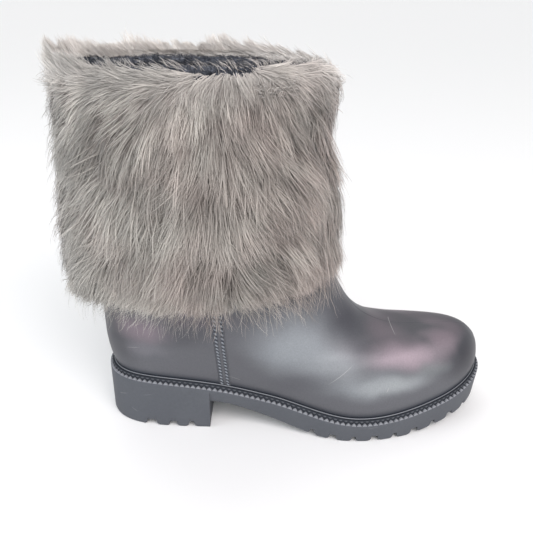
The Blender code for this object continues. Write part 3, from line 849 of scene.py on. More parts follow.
pearl = pearlMaterial()
stitchPvc = paleHighlightPvc("pearl_pvc_moulded_stitch", pearlPvc["stitch"])
makeUpper(pearl)
for sideName, side in (("outer", -1.0), ("inner", 1.0)):
    makeSideStrip(f"side_strip_{sideName}", side, pearl)
    makeStitches(side, sideName, stitchPvc)
makePartingLines(pearl)
makeEdgeBead(paleHighlightPvc("pearl_pvc_rolled_edge", pearlPvc["bead"]))
print("upper, side strips and stitches made")


# Outsole: matt thermoplastic rubber

rubber = dict(
    # each colour and the paler one of its rubbed places
    # tooth: paler, a painted highlight on the teeth; groove: darker, painted shade in the recess behind them
    side=("505359", "62656A"), tooth=("808288", "94969B"), groove=("23272E", "343941"),
    scratch="9A9C9F", grain=1.6 * mm, cloud=30.0 * mm,
    scratches=(
        # x, y and z of the middle, tilt in degrees, half length, half width
        (-106.0, -34.0, 20.0, 24.0, 5.0, 0.20),
        (-98.0, -38.0, 10.0, -30.0, 3.0, 0.18),
        (-88.0, -40.0, 24.0, 12.0, 4.0, 0.12),
        (-84.0, 38.0, 14.0, -18.0, 5.0, 0.15),
        (60.0, -46.0, 12.0, 8.0, 4.0, 0.12),
        (40.0, 44.0, 14.0, -10.0, 5.0, 0.12),
    ),
)


def rubberMaterial(name, colour, worn):
    # Moulded thermoplastic rubber: a dry, even grey with a faint eggshell texture, no pigment
    # sparkle, and paler rubbed edges
    made, add, dress = newMaterial(name, 0.66, 0.35)
    where = add("ShaderNodeTexCoord", out="Object")
    cloud = noise(add, where, rubber["cloud"], 3.0)
    grain = noise(add, where, rubber["grain"], 2.0, Roughness=0.6)
    mixed = blend(add, ramp(add, cloud, 0.35, 0.75, 0.0, 0.35), colour, worn)
    mixed = blend(add, 1.0, mixed, ramp(add, grain, 0.2, 0.8, 0.93, 1.07), "MULTIPLY")
    marks = scratchMarks(add, where, rubber["scratches"])
    mixed = blend(add, times(add, marks, 0.5), mixed, rubber["scratch"])
    dress({"Base Color": mixed, "Roughness": ramp(add, cloud, 0.3, 0.7, 0.58, 0.74),
           "Normal": bump(add, grain, 0.3, 0.12 * mm)})
    return made


outsoleShape = dict(
    heelBreast=71.9, soleTaper=1.8, heelTaper=0.6,
    # out from the upper's edge and down from it, over the top of the welt
    welt=((-2.6, 0.3), (-0.2, 0.3), (0.05, 0.7), (0.25, 1.05), (0.95, 1.05), (1.15, 0.85), (1.7, 0.9),
          (1.95, 1.25), (2.0, 3.6), (2.25, 3.95), (3.2, 4.1), (3.55, 4.3), (3.7, 4.7)),
    sideRows=(0.10, 0.30, 0.50, 0.70, 0.88),
    edgeRound=1.1, grooveRows=(2, 12),
    lugDepth=3.8, lugReach=(12.0, 2.8), lugRound=2.2, lugPitch=13.9, lugWidths=(2.8, 4.6),
    firstNotch=139.4, notches=9,
    heelNotches=((32.3, 6.6), (47.1, 4.8), (59.3, 3.6)),
    channelWidth=3.6, treadDepth=3.0,
    channels=((137.0, 233.0), (18.0, 64.0)),
    barPitch=27.8, bars=3,
    spine=(22.0, 215.0),          # ends of the middle line that the tread's rows run in to
    # steps round the side, and how far beside notches, grooves and the breast they close up
    coarseStep=2.4, besideNotch=(-0.5, -0.05, 0.1, 0.35, 0.75, 1.3, 2.0, 2.8),
    besideEdge=0.25, besideBreast=0.12, closest=0.14,
    lugRows=(4.0, 8.0), treadRows=(0.0, 0.35, 0.7, 1.0), finePoints=1601, sharp=38,
    toothPitch=3.6, toothHeight=1.55, toothBase=3.5, toothTip=0.5, toothDepth=1.5, toothDrop=4.15,
    toothLean=0.35, toothBevel=0.16,
    nubOut=2.0, nubDrop=1.65, nubLength=2.2, nubWidth=0.85, nubHeight=0.5,
)


def weltTrack():
    # fine outline of the sole's side with the distance travelled from the toe tip
    x, width, _ = halfOutline(0.0, weltWidth, outsoleShape["finePoints"])
    return x, width, summedSteps(np.hypot(np.diff(x), np.diff(width)))


def notchSpots():
    # distance from the toe tip and width of each notch in the sole's lower edge
    s = outsoleShape
    x, _, travelled = weltTrack()
    first = np.interp(-s["firstNotch"], -x, travelled)
    spots = [(first - i * s["lugPitch"], s["lugWidths"][i % 2]) for i in range(s["notches"])]
    return spots + [(np.interp(-at, -x, travelled), width) for at, width in s["heelNotches"]]


def soleColumns():
    # places round one side of the sole: closer together at notches, grooves and the breast
    s = outsoleShape
    x, _, travelled = weltTrack()
    total = travelled[-1]
    places = list(np.linspace(0.0, total, int(total / s["coarseStep"])))
    for spot, width in notchSpots():
        half = width / 2
        for off in s["besideNotch"]:
            places += [spot - half - off, spot + half + off]
        places.append(spot)
    edges = [end for channel in s["channels"] for end in channel]
    bars = [s["firstNotch"] + s["lugPitch"] / 2 + i * s["barPitch"] for i in range(s["bars"])]
    bars.append(s["heelNotches"][1][0])
    for bar in bars:
        edges += [bar - s["channelWidth"] / 2, bar + s["channelWidth"] / 2]
    for edge in edges:
        at = np.interp(-edge, -x, travelled)
        places += [at - s["besideEdge"], at + s["besideEdge"]]
    breast = [np.interp(-(s["heelBreast"] + off), -x, travelled)
              for off in (s["besideBreast"], -s["besideBreast"])]
    places = [p for p in places if abs(p - sum(breast) / 2) > 0.5] + breast
    places = np.sort(np.clip(places, 0.0, total))
    keep = np.concatenate(([True], np.diff(places) > s["closest"]))
    keep[-1] = True
    return places[keep], bars


def makeOutsole(material, grooveMaterial):
    s = outsoleShape
    places, bars = soleColumns()
    x, _, travelled = weltTrack()
    index = np.interp(places, travelled, np.arange(len(x)))
    inHeel = pick(index, x)[0] < s["heelBreast"]
    relief = np.zeros(len(places))
    for spot, width in notchSpots():
        off = np.abs(places - spot) - width / 2
        corner = s["lugRound"] * (1.0 - np.sqrt(1.0 - np.clip(1.0 - off / s["lugReach"][1], 0.0, 1.0) ** 2))
        relief = np.maximum(relief, np.where(off < 0.0, s["lugDepth"], corner))

    def halfRing(out):
        hx, hw, _ = halfOutline(0.0, out, s["finePoints"])
        return pick(index, hx, hw)

    def floorAt(atX):
        return np.where(inHeel, 0.0, np.maximum(smooth(atX, underX, underZ), 0.0))

    def edgeHeight(atX):
        return smooth(atX, edgeX, edgeZ)

    rows = []

    def addRow(at, height):
        # a row's x and half width, and its height as a function of x
        rows.append((*at, height(at[0])))

    # the top, in from the middle line to the upper's edge
    topX, topW = halfRing(s["welt"][0][0])
    spineX = np.clip(topX, *s["spine"])
    for share in (0.0, 0.5):
        addRow((spineX + (topX - spineX) * share, topW * share),
               lambda atX: edgeHeight(atX) - s["welt"][0][1])
    for out, drop in s["welt"]:
        addRow(halfRing(out), lambda atX: edgeHeight(atX) - drop)
    # down the side and round the lower edge
    taper = np.where(inHeel, s["heelTaper"], s["soleTaper"])
    outX, outW = halfRing(weltWidth)
    inX, inW = halfRing(weltWidth - s["soleTaper"])
    high = edgeHeight(outX) - s["welt"][-1][1]
    rounding = s["edgeRound"]
    drop = high - floorAt(outX) - rounding
    lean = taper / s["soleTaper"] * (drop - relief) / drop
    lowX, lowW = outX + (inX - outX) * lean, outW + (inW - outW) * lean
    low = floorAt(lowX) + relief + rounding
    for share in s["sideRows"]:
        addRow((outX + (lowX - outX) * share, outW + (lowW - outW) * share),
               lambda atX: high + (low - high) * share)
    spineX = np.where(inHeel, np.clip(lowX, s["spine"][0], s["heelBreast"] - s["besideBreast"]),
                      np.clip(lowX, s["heelBreast"] + s["besideBreast"], s["spine"][1]))
    reach = np.hypot(spineX - lowX, lowW)

    def inward(distance):
        share = np.minimum(distance / np.maximum(reach, 0.01), 1.0)
        return lowX + (spineX - lowX) * share, lowW * (1.0 - share)

    for turn in np.radians((0.0, 30.0, 60.0, 90.0)):
        addRow(inward(rounding * (1.0 - math.cos(turn))),
               lambda atX: floorAt(lowX) + relief + rounding * (1.0 - math.sin(turn)))
    # the tread: edge lugs, the channel inside them, and grooves across the middle
    inChannel = sum((lowX > start) & (lowX < end) for start, end in s["channels"]) * s["treadDepth"]
    inBar = (sum(np.abs(lowX - bar) < s["channelWidth"] / 2 for bar in bars) > 0) * s["treadDepth"]
    lugEnd = s["lugReach"][0]
    channelEnd = lugEnd + s["channelWidth"]
    for distance in (*s["lugRows"], lugEnd - 0.3):
        addRow(inward(distance), lambda atX: floorAt(atX) + relief)
    for distance in (lugEnd + 0.1, channelEnd - 0.1):
        addRow(inward(distance), lambda atX: floorAt(atX) + inChannel)
    startX, startW = inward(channelEnd + 0.3)
    for share in s["treadRows"]:
        addRow((startX + (spineX - startX) * share, startW * (1.0 - share)),
               lambda atX: floorAt(atX) + inBar)
    rings = [closedRing(*row) for row in rows]
    around = len(rings[0])
    faces = gridFaces(len(rings), around, flip=True)
    made = lastPiece("outsole_body", rings, faces, material)
    made.data.materials.append(grooveMaterial)
    # the channel behind the teeth, in the darker rubber: painted shade in the recess
    first, last = s["grooveRows"]
    shade = np.zeros((len(rings) - 1, around), np.int32)
    shade[first:last] = 1
    made.data.polygons.foreach_set("material_index", shade.ravel())
    reshape(made, joinDoubles)
    reshape(made, lambda shaped: bmesh.ops.dissolve_degenerate(
        shaped, edges=shaped.edges[:], dist=touching))
    made.data.set_sharp_from_angle(angle=math.radians(s["sharp"]))
    return finishPiece(made, "matte_rubber", "outsole")


def wedge(base, tip, height, depth, lean):
    # X up, Y along the welt, Z outward; the outer face narrows upwards
    vertices = []
    for out, bottomHalf, topHalf in ((0.0, base / 2, tip / 2), (-depth, base / 2, tip / 2)):
        back = lean if out == 0.0 else 0.0
        vertices += [(0.0, -bottomHalf, out), (0.0, bottomHalf, out),
                     (height, topHalf, out - back), (height, -topHalf, out - back)]
    faces = [(0, 3, 2, 1), (4, 5, 6, 7), (0, 1, 5, 4), (1, 2, 6, 5), (2, 3, 7, 6), (3, 0, 4, 7)]
    return vertices, faces


def makeWeltTeeth(material, nubMaterial):
    # a row of teeth on the shelf and a row of flat nubs above their gaps, stepped along one path
    s = outsoleShape
    nubVertices, nubFaces = lozenge(s["nubLength"], s["nubWidth"], s["nubHeight"])
    rise, half, inwards = s["toothDrop"] - s["nubDrop"], s["toothPitch"] / 2, s["nubOut"] - weltWidth
    nubVertices = [(up + rise, along + half, out + inwards) for up, along, out in nubVertices]
    x, width, z = halfOutline(0.0, weltWidth)
    ring = closedRing(x, width, z - s["toothDrop"])
    run = unit(np.roll(ring, -1, 0) - np.roll(ring, 1, 0))
    outward = level(np.cross((0.0, 0.0, 1.0), run))
    tooth = shapeFrom(*wedge(*(s["tooth" + name] for name in ("Base", "Tip", "Height", "Depth", "Lean"))),
                      bevel=s["toothBevel"])
    repeatPiece("welt_teeth", "matte_rubber", material, tooth, ring, outward, True, s["toothPitch"])
    nub = shapeFrom(nubVertices, nubFaces)
    repeatPiece("welt_nubs", "matte_rubber", nubMaterial, nub, ring, outward, True, s["toothPitch"])


soleRubber = rubberMaterial("thermoplastic_rubber_moulded", *rubber["side"])
toothRubber = rubberMaterial("thermoplastic_rubber_painted_highlight", *rubber["tooth"])
grooveRubber = rubberMaterial("thermoplastic_rubber_painted_groove_shade", *rubber["groove"])
makeOutsole(soleRubber, grooveRubber)
makeWeltTeeth(toothRubber, soleRubber)
print("outsole and welt made")


# Inside: knitted fleece on the walls, the collar's rolled edge and the insole

fleece = dict(wall=("31343B", "646872"), pad=("303238", "5A5C64"), fibre=("2E3137", "74767F"),
              pile=2.6 * mm, tuft=7.0 * mm)


def fleeceMaterial(name, dark, light):
    # Brushed polyester fleece: short matted pile in dark slate, soft and dry, paler where the
    # fibre ends catch the light
    made, add, dress = newMaterial(name, 0.95, 0.15)
    where = add("ShaderNodeTexCoord", out="Object")
    fibre = noise(add, where, fleece["pile"], 4.0, Roughness=0.7)
    tuft = noise(add, where, fleece["tuft"], 2.0)
    both = add("ShaderNodeMix", {0: 0.3, 2: fibre, 3: tuft}, 0, data_type="FLOAT")
    dress({"Base Color": blend(add, ramp(add, both, 0.38, 0.66, soft=True), dark, light),
           "Sheen Weight": 0.35, "Sheen Roughness": 0.5, "Normal": bump(add, both, 0.8, 0.9 * mm)})
    return made


lining = dict(stand=0.5, pile=1.1, low=0.25, rows=46, sideSteps=60)


def makeLining(material):
    # one layer of cloth on the inner wall, from the insole to the collar
    s = lining
    places = np.linspace(s["low"], topPlace, s["rows"])
    outer, normals = upperSurface(places, s["sideSteps"])
    grid = outer - normals * (wall + s["stand"] + s["pile"])
    faces = gridFaces(*grid.shape[:2], flip=True)
    made = lastPiece("shaft_lining", grid, faces, material)
    finishPiece(made, "collar_fleece")
    return made


rollShape = dict(height=9.6, innerHeight=5.6, width=7.5, gap=0.3, round=0.72, points=22, sideSteps=110,
                 wave=0.35, sink=0.4)


def makeCollarRoll(material):
    s = rollShape
    rim = lastRing(topPlace, s["sideSteps"])
    inwards = -level(gridNormals(np.array([lastRing(topPlace - 0.2, s["sideSteps"]), rim]))[-1])
    turns = anglesRound(len(rim))
    # pressed lower along the inner side of the leg
    tall = np.interp(rim[:, 1], acrossLeg, (s["height"], s["innerHeight"]))
    rings = []
    for angle in np.arange(s["points"]) * 2.0 * math.pi / s["points"]:
        side = math.copysign(abs(math.cos(angle)) ** s["round"], math.cos(angle))
        rise = math.copysign(abs(math.sin(angle)) ** s["round"], math.sin(angle))
        depth = s["width"] * (0.5 - 0.5 * side)
        # the soft roll swells and sinks a little along its length
        swell = np.sin(7 * turns + 2 * angle) + 0.6 * np.sin(17 * turns - angle)
        swell = s["wave"] * swell * max(rise, 0.0)
        up = np.zeros((len(rim), 3))
        up[:, 2] = s["gap"] + tall * (0.5 + 0.5 * rise) - s["sink"] + swell - s["sink"] * max(rise, 0.0)
        rings.append(rim + inwards * depth + up)
    faces = closedStack(len(rings), len(rim))
    made = lastPiece("collar_roll", rings, faces, material)
    finishPiece(made, "collar_fleece", "collar_band")
    return made


insolePad = dict(
    inset=3.0, thickness=3.5, sideSteps=60, spine=(20.0, 215.0),
    # share of the way out from the middle line, and share of the thickness
    profile=((0.0, 0.0), (0.5, 0.0), (0.96, 0.0), (1.0, 0.3), (1.0, 0.72), (0.985, 0.93), (0.95, 1.0),
             (0.75, 0.94), (0.5, 0.90), (0.25, 0.88), (0.0, 0.87)),
)


def makeInsole(material):
    s = insolePad
    x, width, _ = halfOutline(0.0, -s["inset"])
    x, width = pick(spread(x, width, s["sideSteps"]), x, width)
    spineX = np.clip(x, *s["spine"])
    rings = []
    for share, rise in s["profile"]:
        atX, atW = spineX + (x - spineX) * share, width * share
        atZ = smooth(atX, edgeX, edgeZ) + s["thickness"] * rise
        rings.append(closedRing(atX, atW, atZ))
    faces = gridFaces(len(rings), len(rings[0]))
    made = lastPiece("insole_pad", rings, faces, material)
    reshape(made, joinDoubles)
    finishPiece(made, "insole_fleece", "insole")
    return made


slateFleece = fleeceMaterial("polyester_fleece_brushed", *fleece["wall"])
padFleece = fleeceMaterial("insole_fleece_brushed", *fleece["pad"])
makeLining(slateFleece)
collarRoll = makeCollarRoll(slateFleece)
makeInsole(padFleece)
print("lining, collar roll and insole made")


# Fur cuff: a dark base, painted shade deep in the pile, under combed acrylic pile

fur = dict(
    # root: the fibres' darker colour towards the root, a painted shade deep in the pile
    root="5E5551", cool="B6B2AB", warm="ADA29C", rim="F2EDE8",
    cloud=34 * mm, forward=(-0.10, 0.04, -0.15, 0.15),       # warmer towards the toe: x, then change
    lockTone=(0.42, 1.30), rimTone=(0.8, 1.1),               # darkest and palest lock
    # where the rim's colour takes over: heights, and places across with its share there (metres)
    rimRise=(0.212, 0.230), rimInwards=(-0.050, 0.015, 0.25, 0.95),
    # paler and darker places: strength of the tone, middle x, y and z (mm), reach
    patches=(
        (0.86, (-62.0, -62.0, 222.0), (46.0, 40.0, 8.0)),      # painted shade in the parting below the rim
        (0.78, (-96.0, -40.0, 228.0), (26.0, 34.0, 9.0)),
        (0.84, (-100.0, -36.0, 238.0), (40.0, 40.0, 14.0)),
        (0.88, (-91.0, -55.0, 199.0), (11.0, 34.0, 24.0)),
        (0.86, (-102.0, -45.0, 184.0), (15.0, 34.0, 14.0)),
        (1.10, (-64.0, -62.0, 209.0), (18.0, 30.0, 13.0)),
        (0.84, (-38.0, -64.0, 208.0), (8.0, 30.0, 12.0)),
        (0.84, (-36.0, -64.0, 188.0), (20.0, 30.0, 18.0)),
        (1.38, (-112.0, -33.0, 206.0), (20.0, 34.0, 17.0)),
        (0.83, (-10.0, -58.0, 182.0), (24.0, 30.0, 26.0)),
        (0.88, (-34.0, -62.0, 175.0), (20.0, 30.0, 20.0)),
        (1.16, (0.0, -52.0, 217.0), (15.0, 28.0, 12.0)),
        (1.07, (-12.0, -52.0, 217.0), (16.0, 30.0, 12.0)),
        (0.92, (-60.0, -62.0, 140.0), (80.0, 50.0, 44.0)),     # the lower half
        (0.90, (-90.0, 50.0, 190.0), (22.0, 30.0, 26.0)),
        (1.08, (-50.0, 62.0, 205.0), (20.0, 30.0, 16.0)),
        (0.90, (-20.0, 55.0, 160.0), (24.0, 30.0, 24.0)),
        (0.90, (-125.0, 0.0, 165.0), (24.0, 24.0, 20.0)),
    ),
    # paler places on the inner crest, painted light coming through the hair as at the rim, and darker ones
    # on the outer crest
    crestPatches=(
        (0.84, (-112.0, -14.0, 238.0), (30.0, 34.0, 18.0)),
        (0.80, (-98.0, -42.0, 234.0), (26.0, 30.0, 14.0)),
        (0.84, (-54.0, -50.0, 228.0), (26.0, 20.0, 9.0)),
        (1.14, (-86.0, 46.0, 238.0), (40.0, 24.0, 18.0)),
        (1.12, (-38.0, 48.0, 236.0), (18.0, 24.0, 14.0)),
    ),
    steps=64,                # half way round the shaft
    shaftRows=90,
    lowBack=88.0, lowFront=99.0, high=233.0, highInner=229.5, seat=0.6, length=36.0,
    shares=(-0.32, -0.24, -0.17, -0.10, -0.05, 0.0, 0.05, 0.10, 0.16, 0.22, 0.30, 0.38, 0.46, 0.54,
            0.62, 0.70, 0.77, 0.83, 0.88, 0.92, 0.95, 0.975, 1.0, 1.02, 1.04, 1.055, 1.07, 1.10, 1.15, 1.20),
    # share of the cuff's height, then mm behind the shaft, at its outer side, inner side and front:
    # how far out the pile's bed lies, and how much further its tips lift
    bed=((-0.32, 4.0, 4.0, 4.0, 0.6), (-0.10, 8.0, 6.5, 6.5, 0.5), (0.00, 11.5, 8.0, 8.0, 0.6),
         (0.10, 14.0, 10.5, 10.5, 2.0), (0.17, 14.0, 12.0, 12.0, 4.0), (0.28, 12.8, 13.0, 13.0, 6.0),
         (0.38, 12.0, 13.6, 13.6, 8.6), (0.50, 11.0, 14.5, 14.5, 8.4), (0.62, 9.6, 14.3, 14.3, 5.8),
         (0.75, 8.6, 14.0, 14.0, 8.0), (0.83, 9.0, 13.2, 13.2, 11.0), (0.90, 10.4, 12.0, 12.0, 14.0),
         (0.97, 11.0, 8.0, 8.0, 13.6), (1.00, 11.0, 4.5, 4.0, 12.4), (1.02, 11.2, 2.0, 1.0, 12.2),
         (1.04, 11.6, -0.5, -3.5, 12.2), (1.07, 12.2, -2.0, -6.0, 12.4), (1.20, 17.0, -3.0, -8.0, 14.0)),
    lift=((-0.32, 1.0, 1.0, 1.0, 0.3), (0.00, 5.0, 4.0, 4.0, 0.5), (0.10, 7.5, 6.0, 6.0, 1.5),
          (0.17, 8.5, 7.5, 7.5, 3.5), (0.28, 9.0, 9.0, 9.0, 6.5), (0.50, 8.5, 9.5, 9.5, 7.0),
          (0.80, 8.5, 9.0, 9.0, 8.0), (0.93, 7.0, 5.5, 6.0, 7.0), (1.00, 4.0, 3.0, 3.0, 4.0),
          (1.20, 2.0, 2.0, 1.0, 2.0)),
    # way the pile is combed: degrees from straight down, positive towards the toe, at these x (mm)
    combX=(-3.0, 15.0, 32.0, 48.0, 65.0, 82.0, 95.0, 104.0, 114.0, 131.0),
    combOuter=(
        (1.20, -150, -125, -115, -100, -92, -70, 50, 84, 84, 80),
        (1.00, -135, -109, -106, -98, -86, -52, 30, 66, 74, 74),
        (0.97, -125, -102, -100, -92, -80, -36, 14, 42, 56, 66),
        (0.94, -95, -78, -76, -66, -48, -20, 8, 24, 36, 56),
        (0.91, -66, -54, -54, -42, -24, 4, 0, 12, 26, 40),
        (0.88, -56, -50, -48, -38, -20, -2, -2, 12, 24, 30),
        (0.80, -50, -44, -38, -30, -16, -4, 2, 12, 22, 22),
        (0.68, -50, -46, -36, -24, -14, -4, 16, 14, 12, 8),
        (0.54, -48, -46, -28, -14, -22, -12, 16, 20, 20, 0),
        (0.38, -48, -46, -36, -24, -18, 2, 14, 20, 8, -12),
        (0.22, -44, -44, -38, -34, -18, 4, 12, 6, -12, -18),
        (0.00, -38, -36, -38, -42, -28, 2, 2, -10, -18, -20),
        (-0.32, -20, -18, -20, -20, -12, 0, 0, -6, -10, -10),
    ),
    combInner=(
        (1.20, -150, -150, -150, -154, -158, -158, -152, -144, -132, -110),
        (1.00, -140, -140, -138, -138, -140, -138, -132, -124, -112, -92),
        (0.93, -96, -92, -90, -86, -82, -80, -78, -76, -78, -80),
        (0.80, -55, -50, -42, -30, -20, -14, -14, -20, -34, -44),
        (0.50, -42, -36, -25, -12, 0, 9, 14, 12, 2, -10),
        (0.00, -35, -30, -20, -10, 0, 6, 12, 12, 6, -8),
        (-0.32, -18, -15, -10, -5, 0, 3, 7, 8, 4, -4),
    ),
    # pile length at the rim, and the share of the height up to which it grows, at the same x
    rimOuter=(15.2, 13.8, 13.0, 13.0, 12.0, 12.0, 13.0, 15.0, 15.0, 16.0),
    rimInner=(14.2, 13.2, 12.0, 7.0, 9.0, 13.5, 14.8, 15.2, 15.2, 15.0),
    growOuter=(1.01, 1.0, 0.995, 0.992, 0.982, 0.98, 0.995, 1.02, 1.02, 1.0),
    growInner=(1.01, 1.02, 1.03, 1.035, 1.03, 1.035, 1.035, 1.03, 1.02, 1.0),
    rimFrom=(0.84, 0.86),    # the pile shortens to the rim's length from this share up
    growEdge=0.012,          # share of the height over which it thins out where it stops growing
    fringe=10.5,             # the fringe ends this far (mm) over the low edge of the bed
    # how thick the pile stands at shares of the height, and the stray hairs' own thickness and length
    thickOuter=((0.065, 0.11, 0.86, 0.93), (0.0, 1.0, 1.0, 2.6)),
    thickInner=((0.065, 0.11, 0.86, 0.94), (0.0, 0.69, 0.69, 4.6)),
    strayThick=((0.04, 0.07, 0.16, 0.24, 0.84, 0.90, 0.99, 1.00), (0.0, 2.0, 2.0, 0.6, 0.6, 0.9, 0.9, 0.0)),
    strayLength=((0.0, 0.15, 0.35, 0.85, 0.95, 1.00), (19.0, 26.0, 34.0, 32.0, 13.0, 10.0)),
    strayRim=(0.9, 0.4),     # above this share, thinner on the inner side
    # the closed base under the pile: shares outside and inside, how far it sinks (mm), and the root colour
    # and tone that darken it as painted shade
    baseOuter=(0.07, 0.085, 0.11, 0.15, 0.22, 0.32, 0.44, 0.56, 0.68, 0.78, 0.85, 0.89, 0.91, 0.92),
    baseInner=(0.915, 0.8, 0.6, 0.4, 0.2, 0.08), baseSink=1.5, baseAlong=0.12, baseTone=0.3,
)


def alongMeridian(grid, normals, share):
    # a level ring of the shaft at a share of the cuff's height, and its level normals
    forward = np.clip(grid[-1, :, 0] / sections[topPlace][2], 0.0, 1.0)
    low = fur["lowBack"] + (fur["lowFront"] - fur["lowBack"]) * forward
    high = np.interp(grid[-1, :, 1], acrossLeg, (fur["high"], fur["highInner"]))
    height = low + (high - low) * share
    points, aims = np.empty_like(grid[0]), np.empty_like(grid[0])
    for j in range(grid.shape[1]):
        column = min(height[j], grid[-1, j, 2])
        for axis in range(3):
            points[j, axis] = np.interp(column, grid[:, j, 2], grid[:, j, axis])
            aims[j, axis] = np.interp(column, grid[:, j, 2], normals[:, j, axis])
    points[:, 2] = height
    return points, level(aims)


def roundShaft(table, share, around):
    # a table's row for this share, blended round the shaft
    table = np.array(table)
    row = [np.interp(share, table[:, 0], column) for column in table.T[1:]]
    place = anglesRound(around)
    behind, ahead = np.clip(-np.cos(place), 0.0, 1.0) ** 2, np.clip(np.cos(place), 0.0, 1.0) ** 2
    beside = np.where(place < np.pi, row[1], row[2])
    return row[0] * behind + beside * (1.0 - behind - ahead) + row[3] * ahead


def bedRings(shares, grow=0.0, scale=1.0):
    places = np.linspace(0.0, topPlace, fur["shaftRows"])
    grid, normals = upperSurface(places, fur["steps"])
    around = grid.shape[1]
    rings = []
    for share in shares:
        points, aims = alongMeridian(grid, normals, share)
        out = fur["seat"] + scale * (roundShaft(fur["bed"], share, around) + grow)
        rings.append(points + aims * out[:, None])
    return np.array(rings)


def combAngles(rows, shares, x):
    # angle of the comb at every share and x, blended as a direction
    rows = np.array(rows, float)[::-1]
    turned = np.radians(rows[:, 1:])
    result = []
    for part in (np.sin(turned), np.cos(turned)):
        across = np.array([np.interp(x, fur["combX"], row) for row in part])
        result.append(np.stack([np.interp(shares, rows[:, 0], across[:, j]) for j in range(len(x))], 1))
    return result


def pileBed(name, rings, comb, out, length, lift, density):
    around = rings.shape[1]
    bed = lastPiece(name, rings, gridFaces(len(rings), around), None)
    for label, values in (("comb", comb), ("out", out)):
        keepValues(bed, label, values, "FLOAT_VECTOR")
    for label, values in (("pileLength", length * mm), ("lift", lift * mm), ("thick", density)):
        keepValues(bed, label, values)
    turn = np.tile(np.arange(around) / around, len(rings) - 1)
    keepValues(bed, "turn", turn, domain="FACE")
    return bed


def makeFurBed(stray=False):
    # a hidden sheet that carries the comb direction, length and lift of the pile, or of stray hairs
    shares = np.array(fur["shares"])
    rings = bedRings(shares)
    around = rings.shape[1]
    x = bedRings((1.0,), scale=0.0)[0][:, 0]
    inner = np.arange(around) > around / 2
    toward, down = (np.where(inner, b, a) for a, b in zip(combAngles(fur["combOuter"], shares, x),
                                                          combAngles(fur["combInner"], shares, x)))
    toward = np.where(inner, toward, -toward)      # now along the ring instead of towards the toe
    for middle in (0, around // 2):
        toward[:, middle] = (toward[:, middle - 1] + toward[:, middle + 1]) / 2
    for _ in range(3):
        toward, down = ((np.roll(part, 1, 1) + 2 * part + np.roll(part, -1, 1)) / 4
                        for part in (toward, down))
    along = unit(np.roll(rings, -1, 1) - np.roll(rings, 1, 1))
    upward = unit(np.gradient(rings, axis=0))
    comb = unit(along * toward[..., None] - upward * down[..., None])
    # shorter at the rim, and near the lower edge so that the fringe ends level
    v = shares[:, None] + 0 * toward
    rim, grow = (np.where(inner, np.interp(x, fur["combX"], fur[name + "Inner"]),
                          np.interp(x, fur["combX"], fur[name + "Outer"])) for name in ("rim", "grow"))
    top = np.clip((v - fur["rimFrom"][0]) / (grow - fur["rimFrom"][1]), 0.0, 1.0)
    length = fur["length"] * (1 - top) + rim * top
    low = rings[np.argmin(abs(shares))][:, 2]
    fall = (rings[..., 2] - low - fur["fringe"]) / np.clip(np.abs(down), 0.6, 1.0)
    length = np.where(v < 0.5, np.minimum(length, np.clip(fall, 5.0, None)), length)
    lift = np.array([roundShaft(fur["lift"], share, around) for share in shares])
    thick = np.where(inner, np.interp(v, *fur["thickInner"]), np.interp(v, *fur["thickOuter"]))
    thick *= np.clip((grow - v) / fur["growEdge"], 0.0, 1.0)
    if stray:
        above, share = fur["strayRim"]
        thick = np.interp(v, *fur["strayThick"]) * np.where(inner & (v > above), share, 1.0)
        length = np.interp(v, *fur["strayLength"])
    return pileBed("fur_bed", rings, comb, gridNormals(rings), length + 0 * v, lift, thick)


crown = dict(
    share=0.93, rows=(0.86, 0.80, 0.70, 0.56, 0.40, 0.2, -0.05),     # how far out each row lies
    rise=(-4.0, -1.0, 0.0, 0.4, 1.0, 2.2, 4.0), outwards=(1.0, 1.0, 1.0, 0.8, 0.5, 0.0, -0.6),
    back=(-0.6, 0.0, 0.0), facing=(1.0, 1.0, 1.6),
    length=7.5, lift=7.5, liftBehind=10.0, liftInner=9.5,
)


def makeCrownBed():
    # the level top of the cuff, from its rounded outer edge in to the wall of the leg
    s = crown
    rings = np.array([bedRings((s["share"],), scale=scale)[0] for scale in s["rows"]])
    rings[..., 2] += np.array(s["rise"])[:, None]
    out = unit(gridNormals(rings) * s["facing"])
    outwards = level(rings[0] - rings[-1])
    comb = outwards[None] * np.array(s["outwards"])[:, None, None] + s["back"]
    place = anglesRound(rings.shape[1])
    lift = s["lift"] + (s["liftBehind"] - s["lift"]) * np.clip(-np.cos(place), 0.0, 1.0) ** 2
    lift = lift + (s["liftInner"] - s["lift"]) * np.clip(-np.sin(place), 0.0, 1.0) ** 2
    whole = np.ones(rings.shape[:2])
    return pileBed("fur_crown_bed", rings, laidOn(comb, out), out, s["length"] * whole, lift * whole, whole)


def makeStrand(places):
    # one flat tapering fibre; its shape on the cuff comes from the two attributes
    vertices = [(side * 0.0002, 0.0, t * 0.03) for t in places for side in (-1, 1)] + [(0.0, 0.0, 0.03)]
    last = 2 * len(places) - 2
    faces = [(i, i + 1, i + 3, i + 2) for i in range(0, last, 2)] + [(last, last + 1, last + 2)]
    strand = newPiece("strand", vertices, faces, None)
    along = [t for t in places for _ in (0, 1)] + [1.0]
    side = [-1.0, 1.0] * len(places) + [0.0]
    keepValues(strand, "along", along)
    keepValues(strand, "side", side)
    return strand


